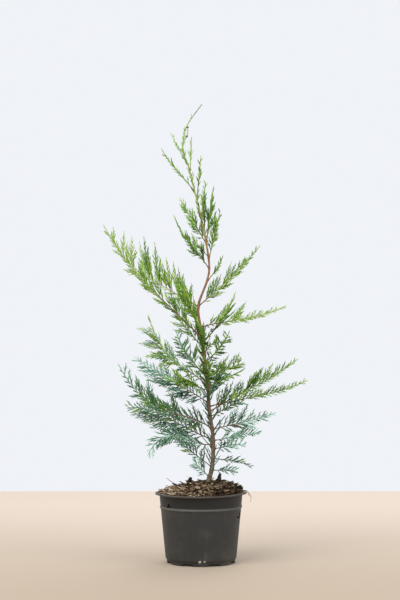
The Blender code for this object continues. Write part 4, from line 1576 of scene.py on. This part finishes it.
@dataclass
class LeaderSprays(Sprays):
    """The scale leaves of the green leader, and the little shoots along the trunk."""

    foot: float = 700.0
    tip: float = 854.0
    step: float = 8.0
    paler_below: float = 795.0
    greener_above: float = 830.0
    slimness: float = 0.85

    def grow(self) -> None:
        """Dress the leader and set every little shoot."""
        self.clothe_leader()
        for row in INNER_SHOOTS:
            self.clothe_trunk(*row)
        for row in LEADER_SHOOTS:
            self.add_shoot(*row)
        for base, tip in zip(SECOND_STRAND, SECOND_STRAND[1:]):
            self.keep(Tone.FRESH, Shoot.straight(Vector(base), Vector(tip), ACROSS, 0.75, 0.65,
                                                 0.9))
        for knot in LEADER_KNOTS:
            for number in range(6):
                out = unit(math.tau * number / 6.0)
                self.keep(Tone.GREEN, Shoot(Vector(knot), out.lerp(UP, 0.55).normalized(),
                                            Vector(), 3.4, out.cross(UP), 0.8, 0.5, 0.9))

    def clothe_leader(self) -> None:
        """Dress the top of the trunk, which is green."""
        height = self.foot
        while height < self.tip - 1.0:
            top = min(height + self.step, self.tip)
            lime = self.rng.random() < (0.7 if height < self.paler_below else 0.25)
            green = Tone.FRESH if height < self.greener_above else Tone.GREEN
            self.keep(Tone.LIME if lime else green, Shoot.straight(
                trunk_axis(height), trunk_axis(top), ACROSS, trunk_radius(height) * self.slimness,
                trunk_radius(top) * self.slimness, 1.15))
            height = top

    def clothe_trunk(self, low: float, high: float, pitch: float, least: float, most: float,
                     squash: float, tones: Sequence[Tone]) -> None:
        """Set little shoots on a stretch of the trunk.

        Args:
            low: Its lower end.
            high: Its upper end.
            pitch: The spacing of the shoots.
            least: The length of the shortest.
            most: The length of the longest.
            squash: How far they spread to the front and back, as a share of the sides.
            tones: Their greens.
        """
        rng = self.rng
        height = low
        while height < high:
            out = unit(rng.uniform(0.0, math.tau))
            out.y *= squash
            out.normalize()
            tilt = math.radians(rng.uniform(24.0, 46.0))
            direction = lean(trunk_direction(height), out, tilt).normalized()
            length = rng.uniform(least, most)
            tone = rng.choice(tones)
            shoot = Shoot(trunk_axis(height), direction, UP * 0.08, length,
                          direction.cross(out).normalized(), 0.7, 0.34, 1.1)
            self.keep(tone, shoot)
            if length > 10.0:
                self.twiglets(shoot, lambda: rng.choice(tones))
            height += pitch * rng.uniform(0.6, 1.4)

    def add_shoot(self, where: float, bearing: float, tilt: float, length: float) -> None:
        """Set one little shoot on the leader.

        Args:
            where: Its height above the ground.
            bearing: Its direction round the trunk in degrees.
            tilt: How far it leans out in degrees.
            length: Its length.
        """
        upward = trunk_direction(where).lerp(UP, 0.3)
        direction = lean(upward, unit(math.radians(bearing)), math.radians(tilt)).normalized()
        side = direction.cross(BACK).normalized()
        tone = Tone.FRESH if length < 12.0 else Tone.LIME
        shoot = Shoot(trunk_axis(where), direction, UP * 0.06, length, side, 0.45, 0.28)
        self.keep(tone, shoot)
        if length > 9.0:
            self.twiglets(shoot, lambda: self.rng.choice((Tone.FRESH, Tone.LIME)))


INNER_SHOOTS = (
    (166, 250, 3.4, 14, 36, 0.4, (Tone.TEAL, Tone.BLUE, Tone.TEAL_DEEP)),
    (250, 335, 3.4, 14, 36, 0.4, (Tone.TEAL, Tone.TEAL_DEEP, Tone.GREEN)),
    (330, 425, 1.7, 14, 30, 1, (Tone.DEEP, Tone.GREEN, Tone.GREEN, Tone.FRESH)),
    (596, 690, 3.4, 8, 16, 1, (Tone.GREEN, Tone.GREEN, Tone.FRESH)),
    (690, 770, 4.4, 6, 12, 1, (Tone.FRESH, Tone.LIME)),
)

SECOND_STRAND = ((-33.1, 0, 781.8), (-31, 1.5, 788.2), (-26.7, 2, 794.3),
                 (-24.7, 2, 803), (-25.2, 2, 812))
LEADER_KNOTS = ((-26.7, 2, 793), (-25.2, 2, 810))

LEADER_SHOOTS = (
    (768, 0, 10, 43), (776, 190, 18, 8), (788, 160, 16, 7), (806, 200, 20, 6),
    (815, 30, 16, 6), (827, 180, 14, 9), (838, 20, 12, 5), (756, 20, 26, 9),
    (742, 200, 26, 9), (726, 190, 30, 11), (713, 10, 26, 12), (704, 250, 30, 10),
)

DEAD_SCRAP = (
    ((57, -30, 256.5), (70, -32, 254)),
    ((60, -31.5, 255), (72, -31, 257)),
    ((58.5, -30, 254.5), (66, -33, 252.5)),
    ((63, -32, 257), (71.5, -33, 252.5)),
)


@dataclass
class Wood:
    """The trunk, the bare boughs and the woody stems inside the sprays."""

    crown: Crown
    trunk_sides: int = 18
    trunk_step: float = 2.4
    trunk_foot: float = 146.5
    trunk_slimness: float = 0.92
    furrow: float = 0.075
    knob: float = 0.07
    collar: float = 0.16
    flare: float = 0.24
    limb_sides: int = 9
    limb_step: float = 2.6
    stem_overlap: float = 0.12
    slimness: float = 0.46
    bark: BarkFinish = BarkFinish("trunk_bark", (
        (0.17, (0.14, 0.108, 0.068)),
        (0.38, (0.15, 0.098, 0.054)),
        (0.5, (0.27, 0.135, 0.085)),
        (0.66, (0.33, 0.16, 0.08)),
        (0.73, (0.4, 0.27, 0.06)),
        (0.79, (0.36, 0.43, 0.07)),
        (0.92, (0.23, 0.32, 0.1)),
    ), 854.0, 0.22)
    young: BarkFinish = BarkFinish("young_bark", (
        (0.18, (0.095, 0.068, 0.04)),
        (0.4, (0.16, 0.088, 0.048)),
        (0.6, (0.29, 0.14, 0.08)),
        (0.85, (0.25, 0.17, 0.07)),
    ), 854.0, 0.5)

    def build(self) -> None:
        """Make the trunk and everything woody that it bears."""
        self.build_trunk()
        self.build_limbs()

    def build_trunk(self) -> None:
        """Make the trunk with its furrows and the collars under its boughs."""
        count = round((TRUNK_STATIONS[-1][0] - self.trunk_foot) / self.trunk_step)
        heights = [self.trunk_foot + self.trunk_step * i for i in range(count)]
        heights.append(TRUNK_STATIONS[-1][0])
        centres = [trunk_axis(height) for height in heights]
        radii = [trunk_radius(height) * self.trunk_slimness for height in heights]

        def relief(angle: float, ring: int) -> float:
            """Work out the bark's relief at a place on the trunk.

            Args:
                angle: The angle round the trunk.
                ring: The number of the ring.

            Returns:
                What is added to the radius.
            """
            height = heights[ring]
            spot = unit(angle, 2.2) + UP * (height * 0.055)
            share = noise.noise(spot * 1.6) * self.furrow
            share += noise.noise(spot + Vector((9.0, 4.0, height * 0.12))) * self.knob
            for bough in BOUGHS:
                near = (height - bough.height + 1.5) / 4.0
                if abs(near) < 2.0:
                    share += self.collar * math.exp(-near * near)
            share += self.flare * math.exp(-(height - self.trunk_foot) / 4.0) * (
                0.4 + 0.6 * max(0.0, math.sin(angle * 2.5 + 0.6)))
            return share * radii[ring]

        tubes = Tubes(self.trunk_sides)
        tubes.add(centres, radii, relief)
        tubes.piece("trunk_bark", self.bark.material(), "bark", ["trunk"])

    def build_limbs(self) -> None:
        """Make the boughs, bare near the trunk and woody inside their sprays."""
        bare = Tubes(self.limb_sides)
        inner = Tubes(self.limb_sides - 2)
        twigs = Tubes(5)
        for skeleton in self.crown.skeletons:
            self.limb(skeleton, bare, inner)
            for branch in skeleton.branches:
                self.twig(branch, twigs)
        for start, end in DEAD_SCRAP:
            twigs.add([Vector(start), (Vector(start) + Vector(end)) / 2.0 + UP, Vector(end)],
                      [0.9, 1.1, 0.5])
        material = self.young.material()
        limbs = [f"bough_{item.bough.name}" for item in self.crown.skeletons if item.bough.bare]
        masses = [f"foliage_{item.bough.name}" for item in self.crown.skeletons]
        bare.piece("bough_bark", material, "young_bark", limbs)
        inner.piece("stem_bark", material, "young_bark", masses)
        twigs.piece("twig_bark", material, "young_bark", masses)

    def limb(self, skeleton: Skeleton, bare: Tubes, inner: Tubes) -> None:
        """Add one bough's wood.

        Args:
            skeleton: The bough's skeleton.
            bare: Where its bare stretch goes.
            inner: Where the stretch inside its spray goes.
        """
        stem = skeleton.stem
        end = skeleton.place_on_stem(skeleton.bough.barked + self.stem_overlap)
        split = skeleton.bare if skeleton.bough.bare else 0.0
        seat = trunk_radius(skeleton.bough.height) * 0.6 / stem.length
        phase = len(inner.points) * 7.3

        def add(tubes: Tubes, low: float, high: float) -> None:
            """Add a stretch of the bough.

            Args:
                tubes: Where it goes.
                low: The fraction of the bough where it begins.
                high: That where it ends.
            """
            count = max(4, round((high - low) * stem.length / self.limb_step))
            steps = [low + (high - low) * i / count for i in range(count + 1)]
            centres, radii = [], []
            for t in steps:
                point = stem.point_at(max(t, 0.0))
                centres.append(point + stem.along(0.0) * min(t, 0.0) * stem.length)
                distance = max(t, 0.0) * stem.length
                collar = 1.0 + 0.55 * math.exp(-distance / 2.5)
                taper = STEM_SWELL - STEM_TAPER * max(t, 0.0)
                radii.append(skeleton.radius * self.slimness * taper * collar)

            def relief(angle: float, ring: int) -> float:
                """Return the bark's relief at a place on the bough."""
                spot = unit(angle, 1.5) + Vector((0.0, phase, steps[ring] * stem.length * 0.12))
                return noise.noise(spot) * 0.14 * radii[ring]

            tubes.add(centres, radii, relief)

        if skeleton.bough.bare:
            add(bare, -seat, split)
            add(inner, split, end)
        else:
            add(inner, -seat, end)

    def twig(self, branch: Curve, twigs: Tubes) -> None:
        """Add the woody foot of a side branch.

        Args:
            branch: The side branch.
            twigs: Where it goes.
        """
        end = min(0.26, 3.0 / branch.length + branch.length / 260.0)
        count = max(2, round(end * branch.length / 4.0))
        steps = [end * i / count for i in range(count + 1)]
        radii = [0.82 - 0.32 * i / count for i in range(count + 1)]
        twigs.add([branch.point_at(t) for t in steps], radii)


# Pot and compost

@dataclass
class Pot:
    """The nursery pot: a tapered cup with a turned-out lip, a bead and a set-in foot."""

    height: float = 130.0
    sides: int = 144
    wall: float = 1.6
    floor: float = 2.0
    rim_radius: float = 85.0
    rim_thickness: float = 2.2
    top_radius: float = 77.5
    low_radius: float = 66.0
    foot_radius: float = 63.5
    foot_height: float = 8.0
    bead_height: float = 103.0
    bead_width: float = 5.4
    bead_depth: float = 1.5
    slots: int = 8
    slot_size: Triple = (9.0, 22.0, 9.0)
    slot_round: float = 1.6
    nick_round: float = 0.7
    nicks: tuple[tuple[Triple, Triple, float], ...] = (
        ((73, -12.9, 94.6), (8, 19, 3), 5),
        ((72.2, -14.7, 90.3), (8, 20, 3.2), -4),
        ((69.8, -22.7, 86.2), (8, 15, 4), -7),
        ((-59.4, -46.8, 106.8), (6, 13.5, 1.9), 2),
        ((-59, -47.4, 108.8), (6, 8, 3.4), -6),
        ((-59.4, -47.4, 111.2), (6, 4.2, 3.4), 8),
    )
    finish: PlasticFinish = PlasticFinish("pot_plastic")

    def outer(self, height: float) -> float:
        """Return the outer radius of the wall at a height."""
        share = (height - self.foot_height) / (self.height - self.foot_height)
        return self.low_radius + (self.top_radius - self.low_radius) * share

    def inner(self, height: float) -> float:
        """Return the radius of the cavity at a height."""
        outer = self.outer(height) if height > self.foot_height else self.foot_radius
        return outer - self.wall

    def profile(self) -> list[tuple[float, float]]:
        """Lay out the wall from the middle of the floor, round the lip and back to it.

        Returns:
            Its outline, as radii and heights.
        """
        foot, step, rim, top = self.foot_radius, self.foot_height, self.rim_radius, self.height
        low = self.bead_height - self.bead_width / 2.0
        high = self.bead_height + self.bead_width / 2.0
        lip = top - self.rim_thickness
        swell = [(0.0, 0.0), (0.12, 0.55), (0.3, 0.92), (0.5, 1.0), (0.7, 0.92), (0.88, 0.55),
                 (1.0, 0.0)]
        bead = [(self.outer(low + (high - low) * u) + self.bead_depth * v,
                 low + (high - low) * u) for u, v in swell]
        wall = [(self.outer(z), z) for z in np.linspace(12.0, low - 1.2, 12)]
        neck = [(self.outer(z), z) for z in np.linspace(high + 1.2, lip - 3.5, 5)]
        return [
            (0.0, 1.2), (30.0, 1.0), (foot - 9.0, 0.9), (foot - 7.0, 0.0), (foot - 0.8, 0.0),
            (foot, 0.6), (foot + 0.5, step - 0.6), (foot + 0.9, step - 0.1),
            (self.outer(step) - 0.5, step + 0.3), (self.outer(step), step + 1.0),
            *wall, *bead, *neck,
            (self.outer(lip) + 0.3, lip - 1.6), (self.outer(lip) + 1.4, lip - 0.5),
            (rim - 1.4, lip - 0.4), (rim - 0.3, lip - 0.5), (rim, lip + 0.2), (rim, top - 0.7),
            (rim - 0.5, top - 0.1), (rim - 1.6, top), (self.inner(top) + 1.6, top),
            (self.inner(top) + 0.5, top - 0.3), (self.inner(top), top - 1.4),
            (self.inner(step + 2.4), step + 2.4), (self.inner(step), step),
            (self.inner(step), self.floor + 0.2),
            (0.0, self.floor + 0.2),
        ]

    def warp(self, angle: float, radius: float, height: float) -> Vector:
        """Return a point of the soft wall, a little out of true as the pot is.

        Args:
            angle: Round the axis.
            radius: From the axis.
            height: Above the ground.

        Returns:
            The point.
        """
        share = min(max((height - 20.0) / 110.0, 0.0), 1.0)
        out = radius + share * (0.5 * math.sin(2.0 * angle + 0.7) + 0.35 * math.sin(3.0 * angle))
        drop = share * (0.9 * math.cos(angle) + 0.35 * math.sin(2.0 * angle + 1.0))
        return Vector((out * math.cos(angle), out * math.sin(angle), height + drop))

    def turned_wall(self) -> bmesh.types.BMesh:
        """Turn the wall from its outline, round the axis.

        Returns:
            The wall's shape.
        """
        mesh = bmesh.new()
        rings = []
        for radius, height in self.profile():
            angles = [math.tau * number / self.sides for number in range(self.sides)]
            rings.append([mesh.verts.new(self.warp(angle, radius, height) * MM)
                          for angle in (angles if radius else angles[:1])])
        for one, two in zip(rings, rings[1:]):
            for number in range(self.sides):
                after = (number + 1) % self.sides
                corners = [one[number % len(one)], one[after % len(one)],
                           two[after % len(two)], two[number % len(two)]]
                mesh.faces.new(list(dict.fromkeys(corners)))
        bmesh.ops.recalc_face_normals(mesh, faces=mesh.faces)
        return mesh

    @staticmethod
    def block(place: Triple, size: Triple, roll: float, round_off: float) -> bpy.types.Object:
        """Make a rounded block that cuts through the wall.

        Args:
            place: Its middle.
            size: Its size outward, round the pot and upward.
            roll: How far it is rolled about the way outward, in degrees.
            round_off: The radius of its long edges.

        Returns:
            The block.
        """
        mesh = bmesh.new()
        bmesh.ops.create_cube(mesh, size=1.0)
        bmesh.ops.scale(mesh, vec=Vector(size) * MM, verts=mesh.verts)
        edges = [edge for edge in mesh.edges
                 if abs((edge.verts[0].co - edge.verts[1].co).x) > 0.5 * size[0] * MM]
        bmesh.ops.bevel(mesh, geom=edges, offset=min(round_off, size[2] * 0.4) * MM, segments=3,
                        affect="EDGES")
        cutter = put_shape("cutter", mesh)
        cutter.location = Vector(place) * MM
        cutter.rotation_euler = (math.radians(roll), 0.0, math.atan2(place[1], place[0]))
        return cutter

    def build(self) -> None:
        """Make the pot and cut its drain slots and nicks."""
        thing = put_shape("pot_wall", self.turned_wall())
        cutters = bpy.data.collections.new("cutters")
        angles = [math.tau * (number + 0.5) / self.slots for number in range(self.slots)]
        for angle in angles:
            place = (self.foot_radius * math.cos(angle), self.foot_radius * math.sin(angle), 0.0)
            cutters.objects.link(self.block(place, self.slot_size, 0.0, self.slot_round))
        for place, size, roll in self.nicks:
            cutters.objects.link(self.block(place, size, roll, self.nick_round))
        modifier = thing.modifiers.new("cuts", "BOOLEAN")
        modifier.operand_type = "COLLECTION"
        modifier.collection = cutters
        modifier.solver = "EXACT"
        bpy.context.view_layer.update()
        whole = thing.evaluated_get(bpy.context.evaluated_depsgraph_get())
        data = bpy.data.meshes.new_from_object(whole)
        thing.modifiers.clear()
        thing.data = data
        for cutter in list(cutters.objects):
            bpy.data.objects.remove(cutter)
        bpy.data.collections.remove(cutters)
        data.shade_smooth()
        data.set_sharp_from_angle(angle=math.radians(38.0))
        dress(thing, self.finish.material(), "pot_plastic", ["pot"])


@dataclass
class Compost:
    """The heaped compost with its bark chips, crumbs, fibres and straw."""

    pot: Pot
    peak: float = 146.5
    edge: float = 128.5
    heap: tuple[float, float] = (1.7, 7.0)
    sides: int = 120
    rings: int = 44
    walls: Triple = (60.0, 11.0, 3.0)
    chips: int = 2000
    chip_sizes: Sizes = ((6.0, 25.0), (1.6, 4.9), (0.6, 2.0))
    chip_steepness: float = 8.5
    crumbs: int = 1100
    crumb_sizes: Sizes = ((1.6, 4.0), (1.2, 2.8), (0.8, 2.0))
    crumb_steepness: float = 60.0
    scatter: float = 1.015
    over_lip: float = 1.045
    bedded: float = 0.35
    fibres: int = 520
    fibre_points: int = 6
    paleness_steps: tuple[tuple[float, Crumb], ...] = (
        (1.05, Crumb.STRAW), (0.72, Crumb.OCHRE), (0.4, Crumb.RUSSET), (0.02, Crumb.BROWN))
    # Very dark compost for the bed, darkened further as painted shade in the gaps between the
    # chips.
    bed: CrumbFinish = CrumbFinish("compost_bed", (0.018, 0.01, 0.004), 4.0)

    def surface(self, x: float, y: float) -> float:
        """Return the height of the compost.

        Args:
            x: The place to the right.
            y: The place to the back.

        Returns:
            The height above the ground.
        """
        foot = trunk_axis(self.peak)
        rim = self.pot.inner(self.edge)
        share = min(math.hypot(x, y) / rim, 1.0)
        low, high = self.heap
        steep = low + (high - low) * min(max((x + 30.0) / 90.0, 0.0), 1.0)
        mound = (self.peak - self.edge) * (1.0 - share ** steep)
        lumps = 2.6 * noise.noise(Vector((x, y, 3.0)) / 17.0)
        lumps += 1.1 * noise.noise(Vector((x, y, 7.0)) / 6.0)
        near = math.exp(-((x - foot.x) ** 2 + (y - foot.y) ** 2) / 160.0)
        return self.edge + mound + lumps * (1.0 - share ** 6) * (1.0 - near)

    def build_bed(self) -> None:
        """Make the body of the compost, which fills the pot."""
        rim = self.pot.inner(self.edge) - GAP
        turns = [unit(angle) for angle in np.linspace(0.0, math.tau, self.sides, endpoint=False)]
        points = [(0.0, 0.0, self.surface(0.0, 0.0))]
        for ring in range(1, self.rings + 1):
            places = [turn * (rim * ring / self.rings) for turn in turns]
            points += [(x, y, self.surface(x, y)) for x, y, _ in places]
        for height in self.walls:
            places = [turn * (self.pot.inner(height) - GAP) for turn in turns]
            points += [(x, y, height) for x, y, _ in places]
        points.append((0.0, 0.0, self.walls[-1]))
        grid = 1 + np.arange(len(points) - 2).reshape(-1, self.sides)
        turned = np.roll(grid, -1, axis=1)
        quads = np.stack([grid[:-1], grid[1:], turned[1:], turned[:-1]], axis=-1).reshape(-1, 4)
        top = np.stack([np.zeros_like(grid[0]), grid[0], turned[0]], axis=-1)
        low = np.stack([np.full_like(grid[0], len(points) - 1), turned[-1], grid[-1]], axis=-1)
        add_piece("compost_bed", np.array(points), [quads, top, low], self.bed.material(),
                  "compost", ["soil"], True)

    def tone_at(self, x: float, y: float, rng: random.Random) -> Crumb:
        """Choose the colour of a chip by its place, palest at the left and the front."""
        # Chips grow paler towards the left and the front, with a random spread.
        paleness = 0.28 - x / 150.0 - y / 400.0 + rng.gauss(0.0, 0.52)
        return next((crumb for least, crumb in self.paleness_steps if paleness > least), Crumb.BLACK)

    def flakes(self, count: int, sizes: Sizes, steep: float, rng: random.Random,
               bins: dict[Crumb, list[np.ndarray]]) -> None:
        """Scatter splinters over the compost.

        Args:
            count: How many.
            sizes: The range of their length, width and thickness.
            steep: How far they stand up, in degrees.
            rng: The compost's own draws.
            bins: Where their corners go, by colour.
        """
        corners = np.array([(x, y, z) for z in (-0.5, 0.5) for x, y in
                            ((-0.5, -0.28), (-0.1, -0.5), (0.5, -0.2), (0.42, 0.3), (-0.2, 0.5),
                             (-0.46, 0.2))])
        rim = self.pot.inner(self.edge)
        for _ in range(count):
            radius = rim * math.sqrt(rng.random()) * self.scatter
            x, y, _ = unit(rng.uniform(0.0, math.tau), radius)
            size = [rng.uniform(*limits) for limits in sizes]
            jitter = np.array([rng.uniform(0.75, 1.25) for _ in range(36)]).reshape(12, 3)
            turn = Matrix.Rotation(rng.uniform(0.0, math.tau), 3, "Z")
            tilt = Matrix.Rotation(math.radians(rng.gauss(0.0, steep)), 3, "X")
            roll = Matrix.Rotation(math.radians(rng.gauss(0.0, steep)), 3, "Y")
            spin = np.array(turn @ tilt @ roll)
            body = (corners * jitter * size) @ spin.T
            reach = np.hypot(body[:, 0] + x, body[:, 1] + y).max()
            pull = min(1.0, self.over_lip * rim / reach)
            x, y = x * pull, y * pull
            lift = max(0.0, -body[:, 2].min()) * self.bedded
            place = np.array((x, y, self.surface(x, y) + lift))
            bins.setdefault(self.tone_at(x, y, rng), []).append(body + place)

    def build_chips(self) -> None:
        """Make the chips and crumbs, joined by colour."""
        rng = random.Random(f"{SEED} chips")
        bins: dict[Crumb, list[np.ndarray]] = {}
        self.flakes(self.chips, self.chip_sizes, self.chip_steepness, rng, bins)
        self.flakes(self.crumbs, self.crumb_sizes, self.crumb_steepness, rng, bins)
        ring = np.arange(6)
        after = np.roll(ring, -1)
        quads = np.stack([ring, after, after + 6, ring + 6], axis=-1)
        caps = np.stack([ring[::-1], ring + 6])
        for crumb, bodies in bins.items():
            block = np.stack(bodies)
            shift = np.arange(len(block))[:, None, None] * 12
            faces = [(quads[None] + shift).reshape(-1, 4), (caps[None] + shift).reshape(-1, 6)]
            add_piece(f"chips_{crumb.name.lower()}", block.reshape(-1, 3), faces,
                      crumb.value.material(), "compost", ["soil"])

    def build_fibres(self) -> None:
        """Make the coir fibres, the straw and the twig that hangs over the lip."""
        rng = random.Random(f"{SEED} fibres")
        bins = {crumb: Tubes(4) for crumb in Crumb if crumb is not Crumb.RUSSET}
        rim = self.pot.inner(self.edge)
        for _ in range(self.fibres):
            radius = rim * math.sqrt(rng.random()) * 0.97
            point = unit(rng.uniform(0.0, math.tau), radius)
            heading = rng.uniform(0.0, math.tau)
            turn = rng.uniform(-0.5, 0.5)
            step = rng.uniform(1.6, 3.6)
            path = []
            for number in range(self.fibre_points):
                if point.length < rim:
                    hump = 1.2 * math.sin(math.pi * number / (self.fibre_points - 1))
                    path.append(point + UP * (self.surface(point.x, point.y) + 0.7 + hump))
                heading += turn
                point += unit(heading) * step
            if len(path) < 3:
                continue
            thick = rng.uniform(0.16, 0.42)
            crumb = rng.choice(list(bins))
            bins[crumb].add(path, [thick * (1.0 - 0.12 * i) for i in range(len(path))])
        for crumb, path, thick in LOOSE_BITS:
            radii = [thick * (1.0 - 0.9 * (i / len(path)) ** 2) for i in range(len(path))]
            bins[crumb].add([Vector(place) for place in path], radii)
        for crumb, tubes in bins.items():
            tubes.piece(f"fibres_{crumb.name.lower()}", crumb.value.material(), "compost",
                        ["soil"])

    def build(self) -> None:
        """Make the compost."""
        self.build_bed()
        self.build_chips()
        self.build_fibres()


LOOSE_BITS = (
    (Crumb.BROWN, ((-45, 20, 141), (-52, 18, 145.5), (-60, 16, 151), (-65, 15, 155.5)), 0.7),
    (Crumb.BROWN, ((76, -14, 134), (84, -16, 135), (90, -17, 128), (93, -17.5, 122),
                   (91.5, -17, 113)), 0.65),
    (Crumb.OCHRE, ((70, -24, 132), (79, -27, 133.5), (86, -28, 131), (90, -29, 125)), 0.5),
    (Crumb.BLACK, ((31.5, -6, 145), (33, -6, 151), (34, -5.5, 157), (34.5, -5, 161),
                   (35.5, -5, 165)), 4.6),
    (Crumb.BLACK, ((28.5, -7, 144), (29, -7, 150), (30, -6.5, 155)), 4),
    (Crumb.BLACK, ((-24, -4, 146), (-22, -4, 150), (-20, -3, 154), (-18.5, -3, 158)), 4.4),
    (Crumb.BROWN, ((-22, -8, 150), (-23.5, -8, 156), (-24.5, -8, 162)), 0.35),
)


# Studio

@dataclass
class Studio:
    """The floor, the soft lights, the pale surroundings and the camera."""

    floor_front: float = -3000.0
    floor_back: float = 1300.0
    floor_side: float = 3000.0
    # Floor colours at the front and the back; the darker front is painted shade.
    floor: StudioFinish = StudioFinish("floor_paint", (0.37, 0.3, 0.228), (0.56, 0.475, 0.4))
    camera_place: Triple = (-1.87, -2986.0, 434.0)
    camera_pitch: float = 1.04
    lens: float = 95.9
    lights: tuple[tuple[str, Triple, float, float, Colour], ...] = (
        ("key_light", (-1500, -1900, 2600), 2.2, 90, (1, 0.98, 0.95)),
        ("fill_light", (2100, -1500, 1500), 2, 34, (0.95, 0.98, 1)),
        ("rear_light", (600, 1900, 2400), 1.8, 30, (1, 1, 1)),
    )
    sky: Colour = (0.871, 0.892, 0.93)
    sky_strength: float = 1.0

    def build(self) -> None:
        """Make the whole studio."""
        self.build_floor()
        self.build_lights()
        self.build_world()
        self.build_camera()

    def build_floor(self) -> None:
        """Make the pale floor, darker towards the front as painted shade."""
        data = bpy.data.meshes.new("floor")
        corners = ((-self.floor_side, self.floor_front), (self.floor_side, self.floor_front),
                   (self.floor_side, self.floor_back), (-self.floor_side, self.floor_back))
        data.from_pydata([(x * MM, y * MM, -0.0002) for x, y in corners], [], [(0, 1, 2, 3)])
        data.materials.append(self.floor.material())
        put("floor", data)

    def build_lights(self) -> None:
        """Make the square soft lights, which face the plant."""
        for name, place, size, power, colour in self.lights:
            data = bpy.data.lights.new(name, "AREA")
            data.size = size
            data.energy = power
            data.color = colour
            light = put(name, data)
            light.location = Vector(place) * MM
            aim = UP * 400.0 - Vector(place)
            light.rotation_euler = aim.to_track_quat("-Z", "Y").to_euler()

    def build_world(self) -> None:
        """Make the pale surroundings."""
        world = bpy.data.worlds.new("studio")
        world.use_nodes = True
        back = world.node_tree.nodes["Background"]
        back.inputs["Color"].default_value = (*self.sky, 1.0)
        back.inputs["Strength"].default_value = self.sky_strength
        bpy.context.scene.world = world
        bpy.context.scene.view_settings.view_transform = "Standard"

    def build_camera(self) -> None:
        """Make the camera at the photograph's place."""
        data = bpy.data.cameras.new("camera")
        data.lens = self.lens
        data.sensor_width = 36.0
        data.clip_start = 0.1
        data.clip_end = 50.0
        camera = put("camera", data)
        camera.location = Vector(self.camera_place) * MM
        camera.rotation_euler = (math.radians(90.0 + self.camera_pitch), 0.0, 0.0)
        bpy.context.scene.camera = camera


def write_sizes() -> None:
    """Bring the view layer up to date."""
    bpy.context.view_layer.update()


def main() -> None:
    """Build and dress the whole plant."""
    logging.basicConfig(level=logging.INFO, format="%(name)s: %(message)s")
    crown = Crown()
    LOG.info("branches: %d", sum(len(item.branches) for item in crown.skeletons))
    Wood(crown).build()
    Foliage(crown).build()
    pot = Pot()
    pot.build()
    Compost(pot).build()
    Studio().build()
    write_sizes()


if __name__ == "__main__":
    main()
